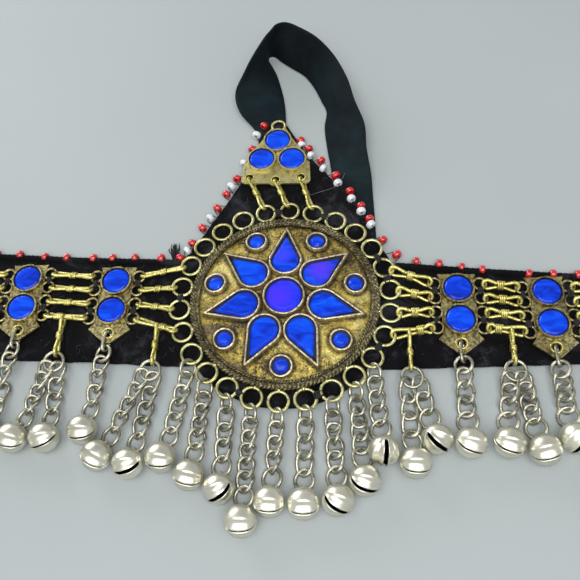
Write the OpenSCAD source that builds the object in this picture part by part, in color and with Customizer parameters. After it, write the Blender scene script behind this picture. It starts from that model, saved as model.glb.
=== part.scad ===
// Tribal head chain, lying face up: a velvet band with a pointed peak carries
// a glass-set medallion, a peak plate, side plates, wire links and bell chains.
// Lengths are millimetres. The origin is under the middle of the medallion on
// the face that the cloth lies on, +Y points to the peak and +Z is up.

/* [Cloth] */
// Thickness of the velvet backing
cloth_t = 1.6; // [1.4:0.1:1.7]
// Diameter of the rolled cord along the band's top edge
hem_d = 2.6; // [2.2:0.1:3]
// Thickness of the ribbon strap
strap_t = 0.9; // [0.7:0.1:0.9]

/* [Medallion] */
// Radius of the circle through the centres of the soldered rings
ring_circle_r = 33.8; // [33.6:0.1:33.9]
// Radius of one soldered ring, to the middle of its wire
ring_r = 3.15; // [3:0.05:3.2]
// Height of the ring wires above the table
ring_z = 3.3; // [3.2:0.05:3.5]
// Thickness of the rope border
rope_d = 3; // [2.8:0.1:3.1]
// Rise of the domed disc from its border to its middle
dome_rise = 1.7; // [0.5:0.1:2.5]
// Height of the bezel walls round the teardrop stones
bezel_h = 1.6; // [1:0.1:2]

/* [Plates] */
// Thickness of the sheet brass
sheet_t = 0.8; // [0.6:0.1:0.9]
// Outer radius of the round bezels on the plates
stone_bezel_r = 5.1; // [4.8:0.1:5.2]
// Distance between the two stones of a side plate
stone_pitch = 10.7; // [10.5:0.1:11]

/* [Chains] */
// Wire of the chain links and jump rings
chain_wire = 0.9; // [0.8:0.05:0.95]
// Width of a chain link between the middles of its two sides
chain_w = 3.9; // [3.6:0.1:4]
// Radius of a bell
bell_r = 4.5; // [4.3:0.1:4.6]

/* [Hidden] */
$fn = 48;

// Clearances, and the wire sizes that follow from the soldered rings
slack = 0.22;
link_slack = 0.24;
lap = 0.06;
joint = 0.03;
ring_wire = 0.9;
side_wire = 0.8;
link_wire = 0.85;
plate_z = 2.5;
plate_top = plate_z + sheet_t;

// Outline of the cloth: columns are x and y, clockwise from the left end's top
cloth_outline = [
  [-131, 18.3], [-100, 17.2], [-70, 15.6], [-35.5, 14.7],
  [-28.3, 27], [-20.3, 42], [-15.8, 52], [-12.6, 62], [-9, 73.3],
  [-2.2, 74], [4.8, 61], [14.5, 49], [23, 36.2], [30, 22.5], [35.5, 13.3],
  [60, 11.2], [90, 9.1], [124, 7.9],
  [124, -19.3], [90, -20.2], [60, -21.4], [30, -22.5],
  [25.3, -20.4], [20.8, -26], [16, -30.6], [8.4, -34.1], [0, -35.1],
  [-8.4, -34.1], [-16, -30.6], [-20.8, -26], [-24.6, -20.2], [-28, -18.2], [-31, -22.2],
  [-60, -21.2], [-100, -20.2], [-131, -19.6]
];
// The points of that outline that carry the rolled cord
hem_left = [0, 3];
hem_right = [14, 17];
hem_z = hem_d / 2 + 0.05;

// Places where the metal presses into the pile.
// Columns: x, upper y, lower y, half width, height of the dented surface
dents = [
  [-40, -6, -24, 1.4, 1.2],
  [-72, -3, -23, 1.4, 1.2],
  [-101, -2, -23, 1.4, 1.2],
  [38.6, -7.5, -25, 1.4, 1.2],
  [69.9, -6, -24, 1.4, 1.2],
  [95.6, -7, -23, 1.4, 1.2]
];

// Centre line of the ribbon strap from the tip of the peak round to the far slope.
// Columns: x, y and z of the edge inside the loop, then of the edge outside it
strap_rows = [
  [-2.6, 63, 0.55, -12, 63, 0.55],
  [-2.5, 72.5, 0.55, -13.8, 71.5, 0.7],
  [-3.2, 82, 0.55, -20, 79, 3],
  [-4.6, 90, 0.55, -22.1, 87.3, 4.5],
  [-7, 98.5, 0.55, -18.3, 92, 10],
  [-9.3, 104, 0.55, -14.6, 96.6, 14],
  [-10.9, 107.4, 0.55, -10.6, 103.2, 16],
  [-10.5, 109.6, 0.55, -8.7, 107.2, 15.5],
  [-8.2, 109.4, 0.55, -6.6, 111.3, 15],
  [-5.2, 106.4, 0.55, -3.3, 113.6, 13.9],
  [-1, 102.8, 0.55, 1.1, 112.8, 12.6],
  [4, 98.6, 0.55, 8.6, 106.6, 12.6],
  [8, 92, 0.55, 15.1, 99.2, 10.6],
  [10.8, 85.2, 0.55, 19.9, 88.4, 10],
  [12.7, 80, 0.55, 22.6, 78.6, 9],
  [12, 72.5, 0.55, 26.2, 69, 7],
  [13, 63, 0.55, 26.9, 59.5, 5],
  [14.5, 53, 0.55, 28.4, 50, 3],
  [15.6, 43, 0.55, 29, 41.5, 0.8],
  [16.6, 32, 0.55, 29.5, 31, 0.55],
  [17.4, 18, 0.55, 30, 18, 0.55]
];
strap_steps = 4;
// Height of the hollows under the cloth where the strap is sewn on
pocket_z = 1.2;

// Side plates. Columns: name, x, y, turn, bell x, bell y, links, slot turn
plate_rows = [
  ["left_1", -55.7, 1.05, 0, -58.2, -43.5, 3, 8],
  ["left_2", -85.9, 2, 1.5, -88.2, -43, 3, -12],
  ["left_3", -116.1, 3.1, 2, -118.6, -42.5, 3, 15],
  ["right_1", 54.6, -1.7, 0, 54.6, -45.3, 3, -20],
  ["right_2", 81.9, -2.85, 2, 83.4, -43.5, 3, 60],
  ["right_3", 109.3, -4.4, 2.5, 112.8, -45.2, 3, -10]
];
plate_half_w = 5.3;
plate_flare = [6.8, -11.7];
eyelet = [0, -13];
side_ring_x = 7.1;
side_ring_r = 1.95;
side_ring_y = [7.4, 2.4, -2.6, -7.8];

// Rows of collared links. Columns: name, the inner anchor, the outer anchor,
// whether a drop link hangs from the lowest one, and the collar's shift there.
// An anchor is the number of a plate, or the first medallion ring of a row of four
link_rows = [
  ["left_1", [22, -1], 0, [-40, -22.3], 2.4],
  ["left_2", 0, 1, [-71.4, -19.6], -2.4],
  ["left_3", 1, 2, [-101, -19.4], -2.4],
  ["right_1", [6, 1], 3, [38.9, -23.6], 2.4],
  ["right_2", 3, 4, [69.6, -21.2], -2.4],
  ["right_3", 4, 5, [95.4, -20.6], -2.4]
];
link_w = 2.5;
link_roll = 55;
link_pinch = 0.55;
collar_l = 3;
collar_wall = 0.35;

// Two bell chains on each drop link. Columns: bell x, bell y, links, slot turn
// and side that the links lean to, for the first bell and then for the second
drop_rows = [
  [-52.5, -51, 4, -10, 1, -43, -53.1, 4, 25, 1],
  [-79, -46.2, 4, 0, 1, -69.3, -46, 3, 20, 1],
  [-108, -46.5, 3, 5, 1, -98.6, -46, 3, -15, 1],
  [38.9, -51.2, 3, -5, -1, 45.3, -44.4, 2, -50, 1],
  [65.2, -45.1, 3, -10, 1, 74.6, -46.9, 4, 10, 1],
  [93.3, -47.2, 3, 12, 1, 102.8, -46, 3, -5, 1]
];

// Bell chains under the medallion.
// Columns: ring number, bell x, bell y, links, slot turn, lift of the bell,
// side that the links lean to
medallion_chains = [
  [10, 30.2, -48.2, 3, 82, 0.7, 1],
  [11, 24.8, -56.4, 4, -25, 0, -1],
  [12, 17.3, -61.9, 4, -35, 0, 1],
  [13, 7.8, -63, 3, 0, 0, 1],
  [14, -1.7, -62.7, 3, 0, 0, 1],
  [15, -9.3, -68, 5, 3, 0, 1],
  [16, -16.1, -59.6, 3, 35, 0, 1],
  [17, -24.9, -55.9, 4, -10, 0, 1],
  [18, -33.6, -51.2, 4, 5, 0, 1]
];
bell_h = 3.95;
bell_wall = 0.45;
bell_slot = 0.6;
bell_tilt = 36;
bell_z = 4.45;
bell_eye = 4.75;
eye_r = 1.35;
lie_z = 1.62;
jump_r = 2.6;
end_ring_r = 2.9;
drop_ring_r = 3.05;
drop_spread = 38;
oblique = 0.72;
link_lean = 26;
first_link_lean = 56;
end_ring_lean = 22;

// Medallion sizes
petal_count = 7;
petal_r = 5.4;
petal_tip = 13.4;
petal_mid = 12.9;
petal_tilt = 4.5;
dome_r = 28;
rope_r = 29.1;
disc_t = 0.9;
disc_rim_z = 3.5;
small_r = 3.6;
small_mid = 23;
small_tilt = 6;
centre_r = 6.7;
bezel_wall = 0.65;
plate_bezel_wall = 0.5;
stone_gap = 0.5;
facets = 12;

// Peak plate: origin at the middle of its eyelets, stones and top ring
peak_at = [-5, 48.3];
peak_stones = [[0, 15.7], [-5.3, 7.3], [5.5, 7.2]];
peak_ring = [0, 23.2];
peak_ring_r = 2.35;
peak_eyelets = [[-9.3, 0], [0, -1], [8.9, 0]];
peak_links_to = [0, 1, 2];

// Hook at the band's left end
hook_at = [-125, -0.8];
hook_wire = 1;

plate_names = [for (row = plate_rows) row[0]];

brass = "darkkhaki";
old_brass = "goldenrod";
steel = "silver";
velvet = "dimgray";
ribbon = "darkslategray";
glass = "royalblue";

// Vector helpers
function xy(p) = [p[0], p[1]];
function unit(v) = v / norm(v);
function mix(a, b, t) = a + (b - a) * t;
function polar(r, a) = [r * cos(a), r * sin(a)];
function turn(p, a) = [p[0] * cos(a) - p[1] * sin(a), p[0] * sin(a) + p[1] * cos(a)];

// Places of the soldered rings and of the side plates' rings
ring_step = 360 / 26;
function ring_at(i) = polar(ring_circle_r, 103.05 - ring_step * i);
function on_plate(k, p) = [plate_rows[k][1], plate_rows[k][2]] + turn(p, plate_rows[k][3]);

// A straight wire from p to q
module rod(p, q, d) {
  v = q - p;
  translate(p)
    rotate([0, acos(v[2] / norm(v)), atan2(v[1], v[0])])
      cylinder(d = d, h = norm(v));
}

// A round ring of wire in the XY plane
module wire_ring(r, d) {
  rotate_extrude()
    translate([r, 0])
      circle(d = d);
}

// Half a ring of wire, open towards -X
module half_ring(r, d) {
  rotate([0, 0, -90])
    rotate_extrude(angle = 180)
      translate([r, 0])
        circle(d = d);
}

// A loop of wire with round ends, long along X
module wire_loop(length, width, d) {
  reach = (length - width) / 2;
  if (reach < 0.05) {
    wire_ring(length / 2, d);
  } else {
    for (side = [0, 180])
      rotate([0, 0, side]) {
        translate([reach, 0, 0])
          half_ring(width / 2, d);
        rod([-reach - lap, width / 2, 0], [reach + lap, width / 2, 0], d + joint);
      }
  }
}

// Turns a child that lies along X so that it runs from p to q, rolled about that line
module along(p, q, roll) {
  v = q - p;
  translate((p + q) / 2)
    rotate([0, -asin(v[2] / norm(v)), atan2(v[1], v[0])])
      rotate([roll, 0, 0])
        children();
}

// One chain link between two contact points
module chain_link(p, q, roll, width) {
  length = norm(q - p) + chain_wire + slack;
  along(p, q, roll)
    wire_loop(length, width, chain_wire);
}

// One jump ring between two contact points
module jump_ring(p, q, roll) {
  length = norm(q - p) + chain_wire + slack;
  along(p, q, roll)
    wire_loop(length, length, chain_wire);
}

// Half outline of a flattened ball: a round edge on a narrow flat
module bell_half(r, h) {
  intersection() {
    union() {
      translate([r - h, 0])
        circle(r = h);
      translate([0, -h])
        square([r - h, 2 * h]);
    }
    translate([0, -h])
      square([r, 2 * h]);
  }
}

// A hollow bell with a slot across its mouth, its eye on the -X side
module bell(slot_turn) {
  rotate([slot_turn, 0, 0])
    difference() {
      rotate([0, 90, 0])
        rotate_extrude()
          difference() {
            bell_half(bell_r, bell_h);
            bell_half(bell_r - bell_wall, bell_h - bell_wall);
          }
      translate([-0.4, -bell_r - 1, -bell_slot / 2])
        cube([bell_h + 1, 2 * bell_r + 2, bell_slot]);
    }
  translate([eye_r - bell_eye - 1.05, 0, 0])
    rotate([90, 0, 0])
      wire_ring(eye_r, 0.7);
}

// Contact points of a chain from start to the bell's eye.
// hold is the length that stays at the start's height before it comes down
function chain_height(s, from_z, hold) = max(lie_z, from_z - 0.34 * max(0, s - hold));
function sums(v, i = 0, total = 0) =
  i == len(v) ? [total] : concat([total], sums(v, i + 1, total + v[i]));
function chain_points(start, finish, steps, hold) =
  let (at = sums(steps), n = len(steps))
  [for (i = [0:n])
    let (p = mix(xy(start), xy(finish), at[i] / at[n]))
    [p[0], p[1], i == n ? finish[2] : chain_height(at[i], start[2], hold)]];

// The side on which a link leans: side is the end ring's, and left counts the links to it
function way(side, left) = left % 2 == 1 ? -side : side;

// A run of links, a larger ring at its end and a bell. Neighbours lean to either side.
// first is the list of lead-in rings: columns are pitch, roll and width
module bell_run(start, bell_at, links, slot_turn, lift, side, first, hold, first_roll) {
  heading = unit(bell_at - xy(start));
  centre = [bell_at[0], bell_at[1], bell_z + lift];
  eye_xy = bell_at - heading * bell_eye * cos(bell_tilt);
  eye_at = [eye_xy[0], eye_xy[1], centre[2] - bell_eye * sin(bell_tilt)];
  back = heading * (chain_wire + slack) / 2;
  finish = [eye_xy[0] - back[0], eye_xy[1] - back[1], eye_at[2]];
  ring_pitch = 2 * end_ring_r - chain_wire - slack;
  lead = [for (row = first) row[0]];
  total = norm(xy(finish) - xy(start));
  spent = len(lead) == 0 ? 0 : sums(lead)[len(lead)];
  pitch = (total - spent - ring_pitch) / links;
  steps = concat(lead, [for (i = [1:links]) pitch], [ring_pitch]);
  points = chain_points(start, finish, steps, hold);
  n = len(first);
  for (i = [0:n - 1])
    if (n > 0)
      chain_link(points[i], points[i + 1], first[i][1], first[i][2]);
  for (i = [0:links - 1]) {
    roll = i == 0 && first_roll != 0 ? first_roll : link_lean;
    chain_link(points[n + i], points[n + i + 1], roll * way(side, links - i), chain_w);
  }
  jump_ring(points[n + links], points[n + links + 1], end_ring_lean * side);
  translate(centre)
    rotate([0, -bell_tilt, atan2(heading[1], heading[0])])
      bell(slot_turn);
}

// A wire loop pinched in the middle by a wrapped collar, between two wires at p and q
module collared_link(p, q, roll, wire_p, wire_q, collar_shift, width) {
  toward = unit(q - p);
  a = p - toward * ((wire_p + link_wire) / 2 + link_slack);
  b = q + toward * ((wire_q + link_wire) / 2 + link_slack);
  half = norm(b - a) / 2;
  r = width / 2;
  along(a, b, roll) {
    for (side = [0, 180])
      rotate([0, 0, side]) {
        translate([half - r, 0, 0])
          half_ring(r, link_wire);
        reach = side == 0 ? collar_shift + 0.5 : 0.5 - collar_shift;
        for (edge = [-1, 1]) {
          rod([half - r, edge * r, 0], [reach, edge * link_pinch, 0], link_wire);
          translate([half - r, edge * r, 0])
            rotate([0, 90, 0])
              sphere(d = link_wire + 4 * joint);
        }
      }
    translate([collar_shift - collar_l / 2, 0, 0])
      rotate([90, 0, 90])
        linear_extrude(collar_l) {
          square([2 * link_pinch, link_wire + 2 * collar_wall], center = true);
          for (edge = [-1, 1])
            translate([edge * link_pinch, 0])
              circle(d = link_wire + 2 * collar_wall);
        }
  }
}

// A hollow where metal presses into the pile
module dent(row) {
  translate([row[0] - row[3], row[2], row[4]])
    cube([2 * row[3], row[1] - row[2], 2]);
}

module hem(span) {
  for (i = [span[0]:span[1] - 1]) {
    p = cloth_outline[i];
    q = cloth_outline[i + 1];
    rod([p[0], p[1], hem_z], [q[0], q[1], hem_z], hem_d);
  }
  for (i = [span[0] + 1:span[1] - 1])
    translate([cloth_outline[i][0], cloth_outline[i][1], hem_z])
      sphere(d = hem_d + joint);
}

// Velvet backing: band, peak and the lobe behind the medallion
module strap_pocket() {
  translate([0, 0, -1])
    linear_extrude(1 + pocket_z)
      polygon([[-16, 62], [2, 62], [2, 80], [-16, 80]]);
  translate([0, 0, -1])
    linear_extrude(1 + pocket_z)
      polygon([[16.8, 17.4], [30.6, 17.4], [30.6, 45], [28, 60], [12, 60], [15, 44]]);
}

module cloth_band() {
  color(velvet)
    difference() {
      union() {
        linear_extrude(cloth_t)
          polygon(cloth_outline);
        hem(hem_left);
        hem(hem_right);
      }
      strap_pocket();
      for (row = dents)
        dent(row);
      for (k = [0:len(plate_rows) - 1]) {
        p = on_plate(k, eyelet);
        dent([p[0], p[1] + 1.6, -24, 3.4, 1.1]);
      }
      for (p = peak_eyelets)
        translate([peak_at[0] + p[0], peak_at[1] + p[1] - 2, 1.05])
          cylinder(r = 3.4, h = 2);
    }
}

// Ribbon strap: a thin band swept along its two edges on smooth curves
function spline(a, b, c, d, t) =
  0.5 * ((2 * b) + (c - a) * t + (2 * a - 5 * b + 4 * c - d) * t * t
    + (3 * b - a - 3 * c + d) * t * t * t);
function clamp_row(i) = strap_rows[max(0, min(len(strap_rows) - 1, i))];
strap_path = [
  for (i = [0:len(strap_rows) - 2])
    for (k = [0:strap_steps - (i == len(strap_rows) - 2 ? 0 : 1)])
      spline(clamp_row(i - 1), clamp_row(i), clamp_row(i + 1), clamp_row(i + 2), k / strap_steps)
];
function inner_edge(i) = [strap_path[i][0], strap_path[i][1], strap_path[i][2]];
function outer_edge(i) = [strap_path[i][3], strap_path[i][4], strap_path[i][5]];
function strap_middle(i) = (inner_edge(i) + outer_edge(i)) / 2;
function strap_normal(i) =
  let (last = len(strap_path) - 1,
    run = strap_middle(min(last, i + 1)) - strap_middle(max(0, i - 1)))
  unit(cross(outer_edge(i) - inner_edge(i), run)) * strap_t / 2;

module strap() {
  n = len(strap_path);
  points = [
    for (i = [0:n - 1])
      let (off = strap_normal(i))
      each [inner_edge(i) - off, outer_edge(i) - off, outer_edge(i) + off, inner_edge(i) + off]
  ];
  walls = [
    for (i = [0:n - 2], k = [0:3])
      let (a = 4 * i + k, b = 4 * i + (k + 1) % 4)
      each [[a, b, a + 4], [b, b + 4, a + 4]]
  ];
  end = 4 * n - 4;
  caps = [[0, 2, 1], [0, 3, 2], [end, end + 1, end + 2], [end, end + 2, end + 3]];
  color(ribbon)
    polyhedron(points, concat(walls, caps));
}

// Teardrop outline: a circle and its two tangents to the tip on +Y
module drop_outline(r, tip) {
  a = acos(r / tip);
  circle(r = r);
  polygon([[0, tip], [r * sin(a), r * cos(a)], [-r * sin(a), r * cos(a)]]);
}

// Height of the domed disc's upper face at radius r
function dome_z(r) = disc_rim_z + dome_rise * (1 - pow(r / dome_r, 2));

module on_petal(i) {
  mid = 17;
  slope = tan(petal_tilt);
  rotate([0, 0, -i * 360 / petal_count])
    translate([0, petal_mid, dome_z(mid) + slope * (mid - petal_mid)])
      rotate([-petal_tilt, 0, 0])
        children();
}

module on_small_stone(i) {
  rotate([0, 0, -(i + 0.5) * 360 / petal_count])
    translate([0, small_mid, dome_z(small_mid)])
      rotate([-small_tilt, 0, 0])
        children();
}

// A round bezel wall standing on z = 0, sunk a little into what carries it
module round_bezel(r, wall, h, sink) {
  translate([0, 0, -sink])
    difference() {
      cylinder(r = r, h = h + sink);
      translate([0, 0, -1])
        cylinder(r = r - wall, h = h + sink + 2);
    }
}

module petal_bezel() {
  scale_in = (petal_r - bezel_wall) / petal_r;
  translate([0, 0, -0.6])
    linear_extrude(bezel_h + 0.6)
      difference() {
        drop_outline(petal_r, petal_tip);
        drop_outline(petal_r - bezel_wall, petal_tip * scale_in);
      }
}

// Domed sheet disc, rope border, soldered rings and all bezels, as one soldered piece
module medallion() {
  steps = 10;
  upper = [for (i = [0:steps]) [dome_r * i / steps, dome_z(dome_r * i / steps)]];
  lower = [for (i = [steps:-1:0]) [dome_r * i / steps, dome_z(dome_r * i / steps) - disc_t]];
  color(old_brass) {
    rotate_extrude()
      polygon(concat(upper, lower));
    translate([0, 0, ring_z])
      wire_ring(rope_r, rope_d);
    for (i = [0:25])
      translate([ring_at(i)[0], ring_at(i)[1], ring_z])
        wire_ring(ring_r, ring_wire);
    translate([0, 0, dome_z(0)])
      round_bezel(centre_r, bezel_wall, 1.8, 0.6);
    for (i = [0:petal_count - 1]) {
      on_petal(i)
        petal_bezel();
      on_small_stone(i)
        round_bezel(small_r, bezel_wall - 0.05, bezel_h - 0.2, 0.6);
    }
  }
}

// A round glass slab on z = 0, cut with a table and facets round its rim
module round_stone(r, h, bevel) {
  cylinder(r = r, h = h - bevel);
  translate([0, 0, h - bevel])
    cylinder(r1 = r, r2 = r - bevel, h = bevel, $fn = facets);
}

// A teardrop glass slab with a bevelled rim
module petal_stone(i) {
  inset = bezel_wall + stone_gap;
  share = (petal_r - inset) / petal_r;
  bevel = 0.7;
  share_top = (petal_r - inset - bevel) / petal_r;
  color(glass)
    on_petal(i)
      translate([0, 0, 0.15])
        hull($fn = 32) {
          linear_extrude(0.75)
            drop_outline(petal_r * share, petal_tip * share, $fn = 32);
          linear_extrude(1.35)
            drop_outline(petal_r * share_top, petal_tip * share_top, $fn = 32);
        }
}

module centre_stone() {
  color(glass)
    translate([0, 0, dome_z(0) + 0.15])
      round_stone(centre_r - bezel_wall - stone_gap, 1.6, 0.8);
}

module small_stones() {
  color(glass)
    for (i = [0:petal_count - 1])
      on_small_stone(i)
        translate([0, 0, 0.15])
          round_stone(small_r - bezel_wall - stone_gap, 1.3, 0.7);
}

// Peak plate: sheet outline round the stones, with a straight lower tab
module peak_outline() {
  hull() {
    translate(peak_stones[0])
      circle(r = stone_bezel_r + 0.3);
    translate(peak_ring)
      circle(r = 2);
  }
  hull()
    for (p = peak_stones)
      translate(p)
        circle(r = stone_bezel_r + 0.3);
  hull()
    for (side = [-1, 1]) {
      translate([side * 10.6, -1])
        circle(r = 1.6);
      translate([side * 10.2, 6])
        circle(r = 1.6);
    }
  for (p = peak_eyelets)
    translate(p)
      circle(r = 2.7);
}

module peak_plate() {
  color(brass)
    translate([peak_at[0], peak_at[1], 0]) {
      difference() {
        union() {
          translate([0, 0, plate_z])
            linear_extrude(sheet_t)
              peak_outline();
          for (p = peak_eyelets)
            translate([p[0], p[1], plate_z])
              cylinder(r = 2.2, h = sheet_t + 0.08);
        }
        for (p = peak_eyelets)
          translate([p[0], p[1], plate_z - 1])
            cylinder(r = 1.3, h = 4);
        translate([peak_ring[0], peak_ring[1], plate_z - 1])
          cylinder(r = peak_ring_r, h = 4);
      }
      for (p = peak_stones)
        translate([p[0], p[1], plate_top])
          round_bezel(stone_bezel_r, plate_bezel_wall, bezel_h, 0.2);
      translate([peak_ring[0], peak_ring[1], ring_z])
        wire_ring(peak_ring_r, ring_wire);
    }
}

module peak_stone(i) {
  color(glass)
    translate([peak_at[0] + peak_stones[i][0], peak_at[1] + peak_stones[i][1], plate_top + 0.1])
      round_stone(stone_bezel_r - plate_bezel_wall - 0.15, 1.5, 0.7);
}

// Wire links from the peak plate's eyelets to the medallion's upper rings
module peak_links() {
  color(brass)
    for (i = [0:2]) {
      hole = peak_at + peak_eyelets[i];
      ring = ring_at(peak_links_to[i]);
      toward = unit(hole - ring);
      low = ring + toward * ring_r;
      top = hole - toward * (link_wire + link_slack);
      collared_link([low[0], low[1], ring_z - 0.05], [top[0], top[1], 2.85], 57,
        ring_wire, link_wire, 0, link_w + 0.15);
    }
}

// Side plate: two stones, four soldered rings on each side and a pointed foot
module side_plate(k) {
  place = on_plate(k, [0, 0]);
  tip_y = -16.4;
  half = [
    [plate_half_w + 0.7, 10.9], [plate_half_w + 0.2, 9.6], [plate_half_w, -9.8],
    [plate_flare[0], plate_flare[1]], [0.9, tip_y]
  ];
  outline = concat(half, [for (i = [len(half) - 1:-1:0]) [-half[i][0], half[i][1]]]);
  color(brass)
    translate([place[0], place[1], 0])
      rotate([0, 0, plate_rows[k][3]]) {
        difference() {
          union() {
            translate([0, 0, plate_z])
              linear_extrude(sheet_t)
                polygon(outline);
            translate([eyelet[0], eyelet[1], plate_z])
              cylinder(r = 2.1, h = sheet_t + 0.12);
          }
          translate([eyelet[0], eyelet[1], plate_z - 1])
            cylinder(r = 1.25, h = 4);
        }
        for (side = [-1, 1]) {
          translate([0, side * stone_pitch / 2, plate_top])
            round_bezel(stone_bezel_r, plate_bezel_wall, bezel_h, 0.2);
          for (y = side_ring_y)
            translate([side * side_ring_x, y, ring_z])
              wire_ring(side_ring_r, side_wire);
        }
      }
}

module plate_stones(k) {
  color(glass)
    for (side = [-1, 1]) {
      p = on_plate(k, [0, side * stone_pitch / 2]);
      translate([p[0], p[1], plate_top + 0.1])
        round_stone(stone_bezel_r - plate_bezel_wall - 0.15, 1.5, 0.7);
    }
}

// Where the link of a row starts: the centre and radius of its ring
function anchor(which, row, outward) =
  is_list(which)
    ? concat(ring_at(which[0] - which[1] * -1 * row), [ring_r, ring_wire])
    : concat(on_plate(which, [outward * side_ring_x, side_ring_y[row]]), [side_ring_r, side_wire]);

// Four collared links in a row, and the drop link that hangs from the lowest one
module link_row(k) {
  data = link_rows[k];
  away = data[3][0] < 0 ? -1 : 1;
  hang = data[3];
  color(brass)
    for (row = [0:3]) {
      a = anchor(data[1], row, away);
      b = anchor(data[2], row, -away);
      toward = unit(xy(b) - xy(a));
      p = xy(a) + toward * a[2];
      q = xy(b) - toward * b[2];
      collared_link([p[0], p[1], ring_z], [q[0], q[1], ring_z], link_roll,
        a[3], b[3], row == 3 ? data[4] * away : 0, link_w);
      if (row == 3) {
        share = (hang[0] - p[0]) / (q[0] - p[0]);
        over = mix(p, q, share);
        drop_w = 3;
        start = [over[0], over[1] - 0.75 * drop_w + link_wire + slack + 0.45, ring_z];
        collared_link([start[0], start[1], ring_z], [hang[0], hang[1] + 1, ring_z], 90,
          link_wire, link_wire, 0.6, drop_w);
      }
    }
}

// Bell chain on one of the medallion's rings
module medallion_chain(k) {
  row = medallion_chains[k];
  ring = ring_at(row[0]);
  bell_at = [row[1], row[2]];
  toward = unit(bell_at - ring);
  begin = ring + toward * (ring_r - (chain_wire + slack) / 2 - 0.03);
  jump_pitch = 2 * jump_r - chain_wire - slack;
  color(steel)
    bell_run([begin[0], begin[1], ring_z], bell_at, row[3], row[4], row[5], row[6],
      [[jump_pitch, 50 * way(row[6], row[3] + 1), 2 * jump_r]], 0, 0);
}

// Bell chain on the eyelet of a side plate
module plate_chain(k) {
  row = plate_rows[k];
  hole = on_plate(k, eyelet);
  bell_at = [row[4], row[5]];
  toward = unit(bell_at - hole);
  begin = hole + toward * (chain_wire + slack) / 2;
  jump_pitch = 2 * jump_r - chain_wire - slack;
  side = way(1, row[6]);
  color(steel)
    bell_run([begin[0], begin[1], 2.95], bell_at, row[6], row[7], 0, 1,
      [[4.2, 60 * side, 2.6], [jump_pitch, -23 * side, 2 * jump_r]], 13, 0);
}

// The ring at the foot of a drop link, with two bell chains on it
module drop_chains(k) {
  hang = link_rows[k][3];
  row = drop_rows[k];
  bells = [[row[0], row[1]], [row[5], row[6]]];
  middle = (bells[0] + bells[1]) / 2;
  axis = unit(middle - hang);
  tip = hang + [0, link_wire / 2];
  begin = [tip[0], tip[1], ring_z];
  drop_to = 0.4;
  ring_end = tip + axis * (2 * drop_ring_r - chain_wire - slack);
  ring_mid = (tip + ring_end) / 2;
  slope = drop_to / (2 * drop_ring_r - chain_wire - slack);
  color(steel) {
    jump_ring(begin, [ring_end[0], ring_end[1], ring_z - drop_to], 0);
    for (i = [0, 1]) {
      wire_at = ring_mid + turn(axis, (2 * i - 1) * drop_spread) * drop_ring_r;
      spot = wire_at - unit(bells[i] - wire_at) * ((chain_wire + slack) / 2 + oblique);
      z = ring_z - drop_to / 2 - slope * (spot - ring_mid) * axis;
      bell_run([spot[0], spot[1], z], bells[i], row[5 * i + 2], row[5 * i + 3], 0,
        row[5 * i + 4], [], 2, first_link_lean);
    }
  }
}

// Plain hook sewn to the band's left end
module end_hook() {
  z = cloth_t + 0.15 + hook_wire / 2;
  reach = 12;
  bend = 2.2;
  color(brass)
    translate([hook_at[0], hook_at[1], z]) {
      wire_ring(1.8, hook_wire);
      rod([-1.8, 0, 0], [-reach, 0, 0], hook_wire);
      translate([-reach, bend, 0])
        rotate([0, 0, 180])
          half_ring(bend, hook_wire);
      rod([-reach, 2 * bend, 0], [-reach + 4, 2 * bend, 0], hook_wire);
    }
}

cloth_band();
strap();
medallion();
centre_stone();
small_stones();
peak_plate();
peak_links();
end_hook();
for (i = [0:2])
  peak_stone(i);
for (i = [0:petal_count - 1])
  petal_stone(i);
for (k = [0:len(medallion_chains) - 1])
  medallion_chain(k);
for (k = [0:len(plate_rows) - 1]) {
  side_plate(k);
  plate_stones(k);
  plate_chain(k);
  link_row(k);
  drop_chains(k);
}
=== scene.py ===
"""Looks of a tribal head chain that lies face up on a table: velvet, ribbon, brass, nickel and blue glass.

Tables and helper functions are in millimetres, in the frame of the CAD model. Meshes are built in metres.
"""

from math import acos, asin, atan2, cos, degrees, pi, radians, sin, tan

import bpy
import numpy as np
from mathutils import Matrix, Vector, noise


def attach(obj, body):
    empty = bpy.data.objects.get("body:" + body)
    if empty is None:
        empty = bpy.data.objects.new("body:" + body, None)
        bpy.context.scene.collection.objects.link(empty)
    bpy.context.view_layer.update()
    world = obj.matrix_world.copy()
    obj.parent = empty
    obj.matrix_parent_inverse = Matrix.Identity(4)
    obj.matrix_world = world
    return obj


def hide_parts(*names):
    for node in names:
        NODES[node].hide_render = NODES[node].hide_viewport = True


MM = 0.001
RNG = np.random.default_rng(11)

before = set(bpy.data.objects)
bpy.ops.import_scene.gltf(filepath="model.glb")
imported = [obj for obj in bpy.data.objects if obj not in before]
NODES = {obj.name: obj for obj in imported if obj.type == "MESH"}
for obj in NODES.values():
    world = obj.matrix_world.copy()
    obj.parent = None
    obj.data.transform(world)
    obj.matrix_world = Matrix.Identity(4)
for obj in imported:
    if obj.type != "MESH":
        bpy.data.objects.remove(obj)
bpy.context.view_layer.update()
SCENE = bpy.context.scene

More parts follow.
